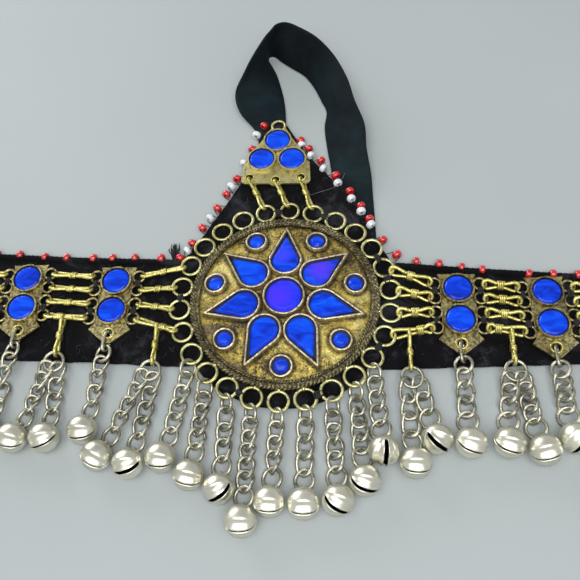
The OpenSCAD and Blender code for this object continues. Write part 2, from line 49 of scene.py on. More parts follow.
# Sizes shared with the CAD model
CLOTH_T = 1.6
HEM_D = 2.6
HEM_Z = 1.35
RING_CIRCLE_R = 33.8
RING_COUNT = 26
FIRST_RING_ANGLE = 103.05
RING_R = 3.2
RING_Z = 3.3
ROPE_R = 29.1
DOME_RISE = 1.7
DOME_R = 28.0
DISC_T = 0.9
DISC_RIM_Z = 3.5
BEZEL_H = 1.6
PLATE_Z = 2.5
SHEET_T = 0.8
PLATE_TOP = PLATE_Z + SHEET_T
STONE_BEZEL_R = 5.1
PLATE_BEZEL_WALL = 0.5
STONE_PITCH = 10.7
CHAIN_WIRE = 0.9
CHAIN_W = 4.75
CURB_WIRE = 1.08
CURB_LOOSE = 1.1
SLACK = 0.22
LINK_SLACK = 0.24
RING_WIRE = 1.0
SIDE_WIRE = 0.8
LINK_WIRE = 0.85
LINK_THICK = 1.15
LINK_W = 2.8
LINK_ROLL = 44
DROP_W = 3
PEAK_ROLL = 57
LINK_PINCH = 0.62
COLLAR_L = 2.7
COLLAR_TURNS = 3
COLLAR_WALL = 0.45
BELL_R = 4.5
BELL_H = 3.95
BELL_WALL = 0.45
BELL_SLOT = 0.6
BELL_GAPE = 1.15
WIDE_TURN = 24
BELL_TILT = 36
BELL_Z = 4.45
BELL_EYE = 4.75
EYE_R = 1.35
LIE_Z = 1.62
JUMP_R = 2.6
OVAL_PITCH = 4.2
OVAL_W = 2.6
END_RING_R = 2.9
DROP_RING_R = 3.05
DROP_SPREAD = 38
OBLIQUE = 0.72
END_RING_LEAN = 22
PETALS = 7
PETAL_R = 5.4
PETAL_TIP = 13.4
PETAL_MID = 12.9
PETAL_TILT = 4.5
SMALL_R = 3.6
SMALL_MID = 23.0
SMALL_TILT = 6
CENTRE_R = 6.7
BEZEL_WALL = 0.65
STONE_GAP = 0.5
PEAK_AT = np.array([-5.0, 48.3])
PEAK_STONES = [(0, 15.7), (-5.3, 7.3), (5.5, 7.2)]
PEAK_EYELETS = [(-9.3, 0), (0, -1), (8.9, 0)]
EYELET = (0, -13)
SIDE_RING_X = 7.1
SIDE_RING_Y = [7.4, 2.4, -2.6, -7.8]
SIDE_RING_R = 1.95

# Outline of the cloth: x and y, clockwise from the left end's top
CLOTH_OUTLINE = [
    (-131, 18.3), (-100, 17.2), (-70, 15.6), (-35.5, 14.7),
    (-28.3, 27), (-20.3, 42), (-15.8, 52), (-12.6, 62), (-9, 73.3),
    (-2.2, 74), (4.8, 61), (14.5, 49), (23, 36.2), (30, 22.5), (35.5, 13.3),
    (60, 11.2), (90, 9.1), (124, 7.9),
    (124, -19.3), (90, -20.2), (60, -21.4), (30, -22.5),
    (27.6, -21.6), (22.9, -26.9), (16.8, -31.2), (8.6, -34.5), (0, -35.5),
    (-8.6, -34.5), (-16.8, -31.2), (-22.9, -26.9), (-27.6, -21.6), (-31, -22.2),
    (-60, -21.2), (-100, -20.2), (-131, -19.6),
]

# Edges of the ribbon strap: x and y of the edge inside its loop, then x, y and z of the edge outside it
STRAP_Z = 0.55
STRAP_W = 14
STRAP_ROWS = [
    (-2.6, 63, -12, 63, 0.55), (-2.5, 72.5, -13.8, 71.5, 0.7), (-3.2, 82, -20, 79, 3),
    (-4.6, 90, -22.1, 87.3, 4.5), (-7, 98.5, -18.3, 92, 10), (-9.3, 104, -14.6, 96.6, 14),
    (-10.9, 107.4, -10.6, 103.2, 16), (-10.5, 109.6, -8.7, 107.2, 15.5), (-8.2, 109.4, -6.6, 111.3, 15),
    (-5.2, 106.4, -3.3, 113.6, 13.9), (-1, 102.8, 1.1, 112.8, 12.6), (4, 98.6, 8.6, 106.6, 12.6),
    (8, 92, 15.1, 99.2, 10.6), (10.8, 85.2, 19.9, 88.4, 10), (12.7, 80, 22.6, 78.6, 9),
    (12, 72.5, 26.2, 69, 7), (13, 63, 26.9, 59.5, 5), (14.5, 53, 28.4, 50, 3),
    (15.6, 43, 29, 41.5, 0.8), (16.6, 32, 29.5, 31, 0.55), (17.4, 18, 30, 18, 0.55),
]

# Side plates: name, x, y, turn, bell x, bell y, slot turn
PLATE_LINKS = 3
PLATE_ROWS = [
    ("left_1", -55.7, 1.05, 0, -58.2, -43.5, 8),
    ("left_2", -85.9, 2, 1.5, -88.2, -43, -12),
    ("left_3", -116.1, 3.1, 2, -118.6, -42.5, 15),
    ("right_1", 54.6, -1.7, 0, 54.6, -45.3, -20),
    ("right_2", 81.9, -2.85, 2, 83.4, -43.5, 60),
    ("right_3", 109.3, -4.4, 2.5, 112.8, -45.2, -10),
]

# Rows of collared links: name, inner anchor, outer anchor, tip of the drop link, shift of the collar there
LINK_ROWS = [
    ("left_1", (22, -1), 0, (-40, -22.3), 2.4),
    ("left_2", 0, 1, (-71.4, -19.6), -2.4),
    ("left_3", 1, 2, (-101, -19.4), -2.4),
    ("right_1", (6, 1), 3, (38.9, -23.6), 2.4),
    ("right_2", 3, 4, (69.6, -21.2), -2.4),
    ("right_3", 4, 5, (95.4, -20.6), -2.4),
]

# Two bell chains on each drop link: bell x, bell y, links, slot turn and side, for each
DROP_ROWS = [
    (-52.5, -51, 4, -10, 1, -43, -53.1, 4, 25, 1),
    (-79, -46.2, 4, 0, 1, -69.3, -46, 3, 20, 1),
    (-108, -46.5, 3, 5, 1, -98.6, -46, 3, -15, 1),
    (38.9, -51.2, 3, -5, -1, 45.3, -44.4, 2, -50, 1),
    (65.2, -45.1, 3, -10, 1, 74.6, -46.9, 4, 10, 1),
    (93.3, -47.2, 3, 12, 1, 102.8, -46, 3, -5, 1),
]

# Bell chains under the medallion: ring, bell x, bell y, links, slot turn, lift, side
MEDALLION_CHAINS = [
    (10, 30.2, -48.2, 3, 82, 0.7, 1),
    (11, 24.8, -56.4, 4, -25, 0, -1),
    (12, 17.3, -61.9, 4, -35, 0, 1),
    (13, 7.8, -63, 3, 0, 0, 1),
    (14, -1.7, -62.7, 3, 0, 0, 1),
    (15, -9.3, -68, 5, 3, 0, 1),
    (16, -16.1, -59.6, 3, 35, 0, 1),
    (17, -24.9, -55.9, 4, -10, 0, 1),
    (18, -33.6, -51.2, 4, 5, 0, 1),
]

# Seed beads at the cloth's edge: colour, x and y
BEADS = {
    "red": [
        (3.2, 65.8), (6.3, 62.1), (10.8, 56.6), (16.1, 50), (21, 43.2), (24.8, 37), (27.6, 31.6),
        (31.9, 23.1), (36.3, 17.4), (-10.7, 73.2), (-14.4, 62.2), (-19.1, 49.1), (-22.4, 42.4),
        (-25.1, 36.5), (-29.6, 28.4), (-32.4, 22.2), (-36.1, 16.5), (-83, 17), (-75.3, 16.7),
        (-65.9, 16.4), (-59.2, 16.4), (-51.5, 16.6), (-42.4, 16.3), (42.5, 14.8), (49.7, 13.8),
        (56.9, 12.6), (63.3, 11.6), (77.7, 10.1), (85.2, 9.9), (92.9, 9.7), (100.5, 9.4),
        (108.5, 9.1), (-92, 17.9), (-100.5, 18.4), (-109, 18.8),
    ],
    "white": [
        (3.5, 63.8), (7, 58.9), (11.6, 53.2), (16.8, 46.7), (21.5, 40), (24.8, 34.7), (28, 29.3),
        (-13.2, 68.8), (-17, 56), (-20.9, 45.8), (-27.3, 32.4), (-33.9, 19.3),
    ],
}


def unit(v):
    v = np.asarray(v, float)
    return v / np.linalg.norm(v)


def unit_rows(v):
    return v / np.linalg.norm(v, axis=1)[:, None]


def angles(n):
    return np.arange(n) * 2 * pi / n


def on_circle(r, a):
    """Flat points at a radius and at angles in radians."""
    return np.stack([r * np.cos(a), r * np.sin(a)], -1)


def bearing(v):
    """Direction of a vector as seen from above, in degrees from +X."""
    return degrees(atan2(v[1], v[0]))


def lengths(path):
    """Length from the start of a path to each of its points."""
    return np.concatenate([[0], np.cumsum(np.linalg.norm(np.diff(path, axis=0), axis=1))])


def at_height(points, z):
    return np.column_stack([points, np.broadcast_to(z, len(points))])


def ccw(path):
    return np.sum(np.cross(path, np.roll(path, -1, 0))) > 0


def turned(p, a):
    c, s = cos(radians(a)), sin(radians(a))
    return np.array([p[0] * c - p[1] * s, p[0] * s + p[1] * c])


def ring_at(i):
    return on_circle(RING_CIRCLE_R, radians(FIRST_RING_ANGLE - 360 / RING_COUNT * i))


def on_plate(k, p):
    return np.array(PLATE_ROWS[k][1:3]) + turned(p, PLATE_ROWS[k][3])


def dome_z(r):
    return DISC_RIM_Z + DOME_RISE * (1 - (r / DOME_R) ** 2)


def spin(x, y, z):
    """Rotation about X, then Y, then Z, in degrees."""
    (a, s), (b, t), (c, u) = ((cos(radians(v)), sin(radians(v))) for v in (x, y, z))
    rx = np.array([[1, 0, 0], [0, a, -s], [0, s, a]])
    ry = np.array([[b, 0, t], [0, 1, 0], [-t, 0, b]])
    rz = np.array([[c, -u, 0], [u, c, 0], [0, 0, 1]])
    return rz @ ry @ rx


def span_frame(p, q, roll):
    """Rotation and middle of a piece that lies along X and runs from p to q."""
    v = q - p
    pitch = -degrees(asin(v[2] / np.linalg.norm(v)))
    return spin(0, pitch, bearing(v)) @ spin(roll, 0, 0), (p + q) / 2


class Lump:
    """Vertices and faces of one piece, joined from many shapes."""

    def __init__(self):
        self.points, self.faces, self.slots, self.count = [], [], [], 0

    def add(self, points, faces, slot=0):
        points = np.asarray(points, float).reshape(-1, 3)
        self.points.append(points)
        self.faces.extend((np.asarray(faces) + self.count).tolist())
        self.slots.extend([slot] * len(faces))
        self.count += len(points)

    def finish(self, name, materials, slot, replaces=(), smooth=True):
        mesh = bpy.data.meshes.new(name)
        mesh.from_pydata((np.vstack(self.points) * MM).tolist(), [], self.faces)
        mesh.polygons.foreach_set("material_index", self.slots)
        mesh.polygons.foreach_set("use_smooth", [smooth] * len(self.faces))
        mesh.update()
        return settle(bpy.data.objects.new(name, mesh), materials, replaces)


def settle(piece, materials, replaces=()):
    """Links a piece to the scene with its materials and its place in the frame."""
    if piece.name not in SCENE.collection.objects:
        SCENE.collection.objects.link(piece)
    for m in materials:
        piece.data.materials.append(m)
    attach(piece, "root")
    if replaces:
        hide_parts(*replaces)
    return piece


def grid_faces(rows, cols, close_rows=False, close_cols=False):
    """Quads of a grid of rows x cols points, row by row."""
    i = np.arange(rows if close_rows else rows - 1)[:, None]
    j = np.arange(cols if close_cols else cols - 1)[None, :]
    k, m = (i + 1) % rows, (j + 1) % cols
    quads = np.stack([i * cols + j, i * cols + m, k * cols + m, k * cols + j], -1)
    return quads.reshape(-1, 4)


def fan(count, centre, start=0, flip=False):
    """Triangles from a ring of points to its centre point."""
    j = np.arange(count)
    faces = np.stack([start + j, start + (j + 1) % count, np.full(count, centre)], 1)
    return faces[:, ::-1] if flip else faces


def path_frames(path, closed):
    """Two normals at each point of a path, carried along it without twist."""
    run = unit_rows(np.roll(path, -1, 0) - np.roll(path, 1, 0) if closed else np.gradient(path, axis=0))
    start = np.cross(run[0], [0, 0, 1.0])
    if np.linalg.norm(start) < 0.2:
        start = np.cross(run[0], [1.0, 0, 0])
    side = [unit(start)]
    for t in run[1:]:
        side.append(unit(side[-1] - t * np.dot(side[-1], t)))
    side = np.array(side)
    other = np.cross(run, side)
    if closed:
        n = side[-1] - run[0] * np.dot(side[-1], run[0])
        off = atan2(np.dot(n, other[0]), np.dot(n, side[0]))
        a = -off * np.arange(len(path)) / len(path)
        c, s = np.cos(a)[:, None], np.sin(a)[:, None]
        side, other = side * c + other * s, other * c - side * s
    return side, other


def rings_round(path, closed, sides, flat=1.0):
    """Offsets of unit length round each point of a path."""
    side, other = path_frames(path, closed)
    a = angles(sides)[None, :, None]
    return np.cos(a) * side[:, None] + flat * np.sin(a) * other[:, None]


def tube(path, radius, sides=10, closed=False, flat=1.0):
    """A wire of the given radius along a path. Open ends are rounded."""
    path = np.asarray(path, float)
    radius = np.broadcast_to(np.asarray(radius, float), (len(path),)).copy()
    if not closed:
        first, last = unit(path[0] - path[1]) * radius[0], unit(path[-1] - path[-2]) * radius[-1]
        path = np.vstack([path[0] + first * 0.75, path[0] + first * 0.55, path,
                          path[-1] + last * 0.55, path[-1] + last * 0.75])
        radius = np.concatenate([
            [radius[0] * 0.02, radius[0] * 0.75], radius, [radius[-1] * 0.75, radius[-1] * 0.02]])
    points = path[:, None] + rings_round(path, closed, sides, flat) * radius[:, None, None]
    return points.reshape(-1, 3), grid_faces(len(path), sides, closed, True)[:, ::-1]


def circle_path(centre, r, steps=40, turn=None, oval=1.0):
    a = angles(steps)
    flat = np.stack([r * np.cos(a), r * oval * np.sin(a), 0 * a], 1)
    if turn is not None:
        flat = flat @ turn.T
    return flat + np.asarray(centre, float)


def flat_circle(r, steps):
    return on_circle(r, angles(steps))


def jitter(size):
    return float(RNG.uniform(-size, size))


def srgb(r, g, b):
    """Linear colour of an sRGB value from 0 to 255."""
    out = []
    for c in (r, g, b):
        c /= 255
        out.append(c / 12.92 if c <= 0.04045 else ((c + 0.055) / 1.055) ** 2.4)
    return (*out, 1.0)


class Look:
    """A material or the world, and short forms for its nodes."""

    def __init__(self, name, home=bpy.data.materials, shader="Principled BSDF", where="Object", **sockets):
        self.owner = home.new(name)
        self.owner.use_nodes = True
        self.tree = self.owner.node_tree
        self.shader = self.tree.nodes[shader]
        self.where = self.node("ShaderNodeTexCoord", where)
        self.done(**sockets)

    def done(self, **sockets):
        """Fills the shader's sockets, named with an underscore for each space."""
        self.fill(self.shader, {key.replace("_", " "): value for key, value in sockets.items()})
        return self.owner

    def fill(self, node, sockets):
        for key, value in sockets.items():
            if isinstance(value, bpy.types.NodeSocket):
                self.tree.links.new(value, node.inputs[key])
            else:
                node.inputs[key].default_value = value

    def node(self, kind, out, sockets=None, **settings):
        """Adds a node and returns one of its outputs."""
        node = self.tree.nodes.new(kind)
        for key, value in settings.items():
            setattr(node, key, value)
        self.fill(node, sockets or {})
        return node.outputs[out]

    def moved(self, scale, turn=(0, 0, 0)):
        return self.node("ShaderNodeMapping", "Vector", {
            "Vector": self.where, "Scale": scale, "Rotation": [radians(t) for t in turn]})

    def noise(self, scale, detail=3.0, rough=0.55, warp=0.0, where=None):
        return self.node("ShaderNodeTexNoise", "Fac", {
            "Vector": where or self.where, "Scale": scale, "Detail": detail, "Roughness": rough,
            "Distortion": warp})

    def waves(self, scale, direction):
        return self.node("ShaderNodeTexWave", "Fac", {"Vector": self.where, "Scale": scale},
                         bands_direction=direction)

    def distance(self, x, y):
        """Distance in metres from a point, as seen from above."""
        return self.node("ShaderNodeVectorMath", "Value", {0: self.moved((1, 1, 0)), 1: (x, y, 0)},
                         operation="DISTANCE")

    def ramp(self, value, *stops):
        """Each stop has its place, then a number, an sRGB colour or a linear colour."""
        node = self.tree.nodes.new("ShaderNodeValToRGB")
        self.fill(node, {"Fac": value})
        elements = node.color_ramp.elements
        while len(elements) < len(stops):
            elements.new(0.5)
        for element, (at, *tone) in zip(elements, stops):
            element.position = at
            element.color = srgb(*tone) if len(tone) == 3 else (*tone * 3, 1) if len(tone) == 1 else tone
        return node.outputs["Color"]

    def mixed(self, share, tone, colour):
        return self.node("ShaderNodeMix", 2, {0: share, 6: tone, 7: srgb(*colour)}, data_type="RGBA")

    def product(self, a, b, how="MULTIPLY"):
        return self.node("ShaderNodeMath", 0, {0: a, 1: b}, operation=how)

    def bump(self, height, distance, strength=1.0, under=None):
        sockets = {"Height": height, "Distance": distance * MM, "Strength": strength}
        if under is not None:
            sockets["Normal"] = under
        return self.node("ShaderNodeBump", "Normal", sockets)


def velvet_look():
    look = Look("black_velvet", Roughness=0.92, Sheen_Weight=0.22, Sheen_Roughness=0.35,
                Sheen_Tint=srgb(110, 118, 130), Specular_IOR_Level=0.12)
    crush_and_sheen = look.noise(95, 4, 0.62, 0.6)
    pile = look.noise(2600, 2, 0.7)
    specks = look.ramp(look.noise(1500, 1, 0.5), (0.69, 0.0), (0.78, 1.0))
    # Lighter patches of crushed pile, partly painted sheen: the pile's crushing is real, its lightness is
    # painted.
    tone = look.ramp(crush_and_sheen, (0.32, 5, 5, 7), (0.54, 14, 14, 17), (0.72, 50, 51, 58))
    tone = look.mixed(look.product(specks, 0.25), tone, (84, 84, 90))
    return look.done(Base_Color=tone, Normal=look.bump(pile, 0.25, 0.8, look.bump(crush_and_sheen, 0.5, 0.5)))


def ribbon_look():
    """Black-green ribbon with painted shade and light: darker in the hollows of its creases and lighter on
    their ridges, near black at the fold of its loop and darker on its right strand.
    """
    look = Look("ribbon_cloth", Roughness=0.75, Sheen_Weight=0.08, Sheen_Roughness=0.4,
                Sheen_Tint=srgb(70, 120, 130), Specular_IOR_Level=0.15)
    weave = look.product(look.waves(900, "X"), look.waves(900, "Y"))
    crease = look.noise(60, 4, 0.6, 0.8)
    # Painted shade and light: the tone follows the creases' height, dark in their hollows and light on their
    # ridges.
    tone = look.ramp(crease, (0.3, 6, 13, 17), (0.55, 13, 28, 33), (0.85, 30, 52, 58))
    # Painted shade: near black round the fold of the loop, and darker on the right strand.
    fold = look.ramp(look.distance(0.002, 0.107), (0.008, 0.8), (0.022, 0.0))
    right = look.ramp(look.node("ShaderNodeSeparateXYZ", "X", {0: look.where}), (0.004, 0.0), (0.016, 0.3))
    tone = look.mixed(right, look.mixed(fold, tone, (4, 6, 9)), (3, 8, 12))
    return look.done(Base_Color=tone, Normal=look.bump(weave, 0.06, 0.7, look.bump(crease, 1.2, 0.8)))


def metal_look(name, bright, middle, dark, grain, roughness, dents=0.05, darkening=(0.40, 0.58)):
    """Worn metal: a bright and a middle tone in patches, with dark grain where dirt has settled."""
    look = Look(name, Metallic=1.0)
    patches = look.noise(grain * 0.35, 3, 0.6, 0.5)
    fine = look.noise(grain * 4, 4, 0.7, 0.3)
    tone = look.ramp(patches, (0.35, *middle), (0.62, *bright))
    dirt = look.ramp(fine, (darkening[0], 1.0), (darkening[1], 0.0))
    tone = look.mixed(look.product(dirt, 0.8), tone, dark)
    rough = look.ramp(fine, (0.3, roughness + 0.22), (0.65, roughness))
    bumps = look.bump(look.noise(grain, 2, 0.5), dents, 0.6, look.bump(fine, dents * 0.6, 0.5))
    return look.done(Base_Color=tone, Roughness=rough, Normal=bumps)


def bell_look():
    """Smooth nickel sheet with a slow change of tone and the faintest scratches."""
    look = Look("nickel_sheet", Metallic=1.0)
    patches = look.noise(60, 3, 0.5, 0.4)
    tone = look.ramp(patches, (0.3, 216, 214, 198), (0.65, 240, 237, 220))
    rough = look.ramp(look.noise(300, 3, 0.6), (0.3, 0.41), (0.7, 0.32))
    return look.done(Base_Color=tone, Roughness=rough, Normal=look.bump(look.noise(90, 2, 0.5), 0.12, 0.35))


def disc_look():
    """Old sheet brass: gold where rubbed, brown where tarnished, gritty, with painted shade at the bezels'
    feet and the rim.
    """
    look = Look("old_brass_sheet", Metallic=0.85)
    patches = look.noise(70, 5, 0.65, 0.9)
    grit = look.noise(1700, 4, 0.7, 0.3)
    grain = look.noise(420, 5, 0.75, 0.5)
    settled = look.ramp(look.noise(85, 4, 0.6, 0.7), (0.43, 1.0), (0.62, 0.42))
    tone = look.ramp(patches, (0.34, 146, 134, 102), (0.47, 222, 196, 90), (0.66, 246, 230, 144))
    for dirt, dark in ((look.ramp(grain, (0.40, 1.0), (0.60, 0.0)), (88, 76, 66)),
                       (look.ramp(grit, (0.38, 1.0), (0.56, 0.0)), (42, 35, 33))):
        tone = look.mixed(look.product(dirt, settled), tone, dark)
    # Painted shade: a stored mask darkens the disc at the bezels' feet and next to the rim.
    darkening = look.node("ShaderNodeAttribute", "Fac", attribute_name="darkening")
    foot = look.product(darkening, look.ramp(grain, (0.3, 1.0), (0.75, 0.6)))
    return look.done(Base_Color=look.mixed(foot, tone, (24, 20, 19)),
                     Roughness=look.ramp(grit, (0.35, 0.6), (0.7, 0.32)),
                     Normal=look.bump(grain, 0.25, 0.9, look.bump(patches, 0.6, 0.5)))


def glass_look(name, edge, body, glow, violet=None, violet_at=(0, 0), violet_r=5.0):
    """Flat blue glass over foil: a deep body with soft streaks, and where asked a violet glance. It glows
    faintly in its own colour, a painted light.
    """
    look = Look(name, Roughness=0.2, Coat_Weight=0.25, Coat_Roughness=0.04, IOR=1.45, Specular_IOR_Level=0.2)
    streak = look.noise(120, 2, 0.5, 1.2, where=look.moved((1, 2.4, 1), (0, 0, 35)))
    tone = look.ramp(streak, (0.22, *edge), (0.46, *body), (0.82, *glow))
    if violet is not None:
        gap = look.distance(violet_at[0] * MM, violet_at[1] * MM)
        share = look.ramp(look.product(gap, violet_r * MM, "DIVIDE"), (0.25, 1.0), (1.0, 0.0))
        tone = look.mixed(share, tone, violet)
    # Painted light: the glass glows faintly with its own tone.
    return look.done(Base_Color=tone, Normal=look.bump(look.noise(160, 2, 0.5), 0.25, 0.25),
                     Emission_Color=tone, Emission_Strength=0.12)


def plain_look(name, colour, mottle, roughness, coat=0.0, grain=0.0):
    look = Look(name, Roughness=roughness, Coat_Weight=coat, Coat_Roughness=0.08)
    tone = look.ramp(look.noise(500, 3, 0.6), (0.35, *colour), (0.7, *mottle))
    if grain:
        look.done(Normal=look.bump(look.noise(1800, 2, 0.6), grain, 0.7))
    return look.done(Base_Color=tone)


VELVET = velvet_look()
RIBBON = ribbon_look()
DISC = disc_look()
ROPE = metal_look("rope_wire", (172, 163, 124), (124, 114, 84), (34, 28, 25), 300, 0.45,
                  darkening=(0.46, 0.62))
BEZEL = metal_look("bezel_strip", (226, 214, 182), (196, 182, 150), (84, 70, 60), 260, 0.36,
                   darkening=(0.36, 0.54))
RINGS = metal_look("ring_wire", (222, 218, 162), (188, 182, 122), (92, 86, 56), 220, 0.34,
                   darkening=(0.34, 0.5))
PLATE = metal_look("plate_sheet", (204, 192, 136), (150, 138, 94), (56, 48, 36), 220, 0.42,
                   0.16, darkening=(0.42, 0.58))
PEAK = metal_look("peak_sheet", (214, 206, 150), (190, 180, 122), (106, 94, 62), 150, 0.4,
                  0.12, darkening=(0.34, 0.5))
LINKS = metal_look("link_wire", (232, 224, 146), (206, 194, 112), (104, 94, 52), 260, 0.36,
                   darkening=(0.34, 0.5))
NICKEL = metal_look("nickel_wire", (198, 195, 176), (158, 155, 138), (78, 74, 64), 260, 0.28,
                    0.03, darkening=(0.35, 0.48))
BELLS = bell_look()
# Painted shade: near black metal for the bells' insides, which lie in shade.
PAINTED_BELL_SHADE = metal_look("painted_bell_shade", (36, 34, 32), (26, 24, 23), (10, 10, 10), 200, 0.6)
DEEP = (0, 24, 128)
BLUE = (0, 52, 196)
SKY = (4, 88, 236)
VIOLET = (72, 50, 216)
GLASS = glass_look("blue_glass", DEEP, BLUE, SKY)
RED = plain_look("red_glass", (176, 10, 18), (206, 36, 32), 0.14, 1.0)
WHITE = plain_look("white_glass", (222, 224, 226), (200, 204, 210), 0.22, 0.8)
THREAD = plain_look("black_thread", (10, 10, 12), (26, 26, 30), 0.75, 0, 0.1)
LINT = plain_look("grey_lint", (120, 120, 126), (86, 86, 92), 0.9)
# Painted shade: a dark sheet under the stones that shows as a dark gap round them.
SEAT_SHADE = plain_look("stone_seat", (14, 14, 22), (30, 26, 26), 0.6, 0, 0.1)


def ripples(points, *waves):
    """Smooth noise at each point in millimetres: a sum of waves, each with its size, scale and seed."""
    values = []
    for p in points:
        x, y, z = (*p, 0)[:3]
        values.append(sum(size * noise.noise(Vector((x / scale + seed, y / scale - seed, z / scale)))
                          for size, scale, seed in waves))
    return np.array(values)


def smoothstep(x, lo, hi):
    t = np.clip((x - lo) / (hi - lo), 0, 1)
    return t * t * (3 - 2 * t)


def resampled(points, step, closed=True):
    """Points spaced evenly along a polygon."""
    pts = np.asarray(points, float)
    if closed:
        pts = np.vstack([pts, pts[:1]])
    out = []
    for a, b in zip(pts[:-1], pts[1:]):
        n = max(1, int(round(np.linalg.norm(b - a) / step)))
        out.extend(a + (b - a) * i / n for i in range(n))
    return np.array(out if closed else out + [pts[-1]])


def inside(points, polygon):
    """Which points lie inside a polygon."""
    x, y = points[:, 0], points[:, 1]
    hit = np.zeros(len(points), bool)
    poly = np.asarray(polygon, float)
    for (x1, y1), (x2, y2) in zip(poly, np.roll(poly, -1, 0)):
        cross = (y1 > y) != (y2 > y)
        with np.errstate(divide="ignore", invalid="ignore"):
            hit ^= cross & (x < (x2 - x1) * (y - y1) / (y2 - y1) + x1)
    return hit


def presses():
    """Places where metal presses into the pile: x, upper y, lower y, half width and height."""
    rows = [(-40, -6, -24, 1.4, 1.2), (-72, -3, -23, 1.4, 1.2), (-101, -2, -23, 1.4, 1.2),
            (38.6, -7.5, -25, 1.4, 1.2), (69.9, -6, -24, 1.4, 1.2), (95.6, -7, -23, 1.4, 1.2)]
    for x, y in ((26.9, -21.4), (-26.9, -21.4), (21.2, -27.4), (-21.2, -27.4)):
        rows.append((x, y + 1.4, y - 2, 1, 0.75))
    for k in range(6):
        x, y = on_plate(k, EYELET)
        rows.append((x, y + 1.6, -24, 3.4, 1.1))
    for hole in PEAK_EYELETS:
        x, y = PEAK_AT + hole
        rows.append((x, y + 1.2, y - 5.2, 3.2, 1.05))
    return rows


# Outlines of the hollows under the cloth where the strap is sewn
STRAP_POCKETS = [
    [(-16, 62), (2, 62), (2, 80), (-16, 80)],
    [(16.8, 17.4), (30.6, 17.4), (30.6, 45), (28, 60), (12, 60), (15, 44)],
]


def velvet_backing():
    """The cloth: a slab turned to small cells, then rolled, pressed and hollowed under the strap."""
    edge = resampled(CLOTH_OUTLINE, 1.0)
    edge = edge - outward(edge) * ripples(edge, (0.3, 5, 3.0), (0.18, 1.6, 7.0))[:, None]
    n = len(edge)
    mesh = bpy.data.meshes.new("velvet_backing")
    walls = grid_faces(2, n, False, True)[:, ::-1].tolist()
    faces = [tuple(range(n)), tuple(range(2 * n - 1, n - 1, -1))]
    slab_points = np.vstack([at_height(edge, 0.05), at_height(edge, CLOTH_T)])
    mesh.from_pydata((slab_points * MM).tolist(), [], faces + walls)
    piece = bpy.data.objects.new("velvet_backing", mesh)
    SCENE.collection.objects.link(piece)
    remesh = piece.modifiers.new("voxels", "REMESH")
    remesh.mode = "VOXEL"
    remesh.voxel_size = 0.62 * MM
    bpy.context.view_layer.update()
    dense = bpy.data.meshes.new_from_object(piece.evaluated_get(bpy.context.evaluated_depsgraph_get()))
    piece.modifiers.clear()
    piece.data = dense
    co = np.zeros(len(dense.vertices) * 3)
    dense.vertices.foreach_get("co", co)
    co = co.reshape(-1, 3) / MM
    top = smoothstep(co[:, 2], 0.9, 1.45)
    level = np.full(len(co), CLOTH_T)
    for x, upper, lower, half, z in presses():
        near = (1 - smoothstep(np.abs(co[:, 0] - x), half - 0.6, half + 2.8)) \
            * (1 - smoothstep(co[:, 1] - upper, -0.6, 1.4)) * (1 - smoothstep(lower - co[:, 1], -0.6, 1.4))
        level = np.minimum(level, CLOTH_T - (CLOTH_T - z + 0.06) * near)
    rolls = ripples(co, (0.14, 9, 1.0), (0.07, 2.6, 5.0), (0.04, 1.1, 9.0))
    co[:, 2] += top * (level - CLOTH_T + rolls - 0.05)
    for pocket in STRAP_POCKETS:
        co[inside(co[:, :2], pocket) & (co[:, 2] < 0.8), 2] = 1.12
    co[:, 2] = np.maximum(co[:, 2], 0.03)
    dense.vertices.foreach_set("co", (co * MM).ravel())
    dense.polygons.foreach_set("use_smooth", [True] * len(dense.polygons))
    dense.update()
    return settle(piece, [VELVET], ["cloth_band"])


def hem_cord(name, points):
    """The rolled cord on the band's top edge: cloth twisted round a core."""
    path = resampled([(x, y, HEM_Z) for x, y in points], 0.45, closed=False)
    for i in range(8):
        path[1:-1] = (path[:-2] + 2 * path[1:-1] + path[2:]) / 4
    sides, lay = 16, 3.4
    wraps = np.abs(np.sin(angles(sides)[None, :] - lengths(path)[:, None] * 2 * pi / lay))
    r = HEM_D / 2 * (0.84 + 0.15 * wraps + ripples(path, (0.05, 2.2, 4.0))[:, None])
    pts = path[:, None] + rings_round(path, False, sides) * r[:, :, None]
    pts[..., 2] = np.maximum(pts[..., 2], 0.05)
    lump = Lump()
    lump.add(pts.reshape(-1, 3), grid_faces(len(path), sides, False, True)[:, ::-1])
    for i in (0, -1):
        lump.add(np.vstack([pts[i], path[i]]), fan(sides, sides, 0, i < 0))
    return lump.finish(name, [VELVET], "velvet")


def catmull(rows, steps):
    """Points on smooth curves through rows of numbers."""
    rows = np.asarray(rows, float)
    out = []
    last = len(rows) - 1
    for i in range(last):
        a, b, c, d = (rows[min(max(k, 0), last)] for k in (i - 1, i, i + 1, i + 2))
        for t in np.arange(steps + (i == last - 1)) / steps:
            out.append(0.5 * (2 * b + (c - a) * t + (2 * a - 5 * b + 4 * c - d) * t ** 2
                              + (3 * b - a - 3 * c + d) * t ** 3))
    return np.array(out)


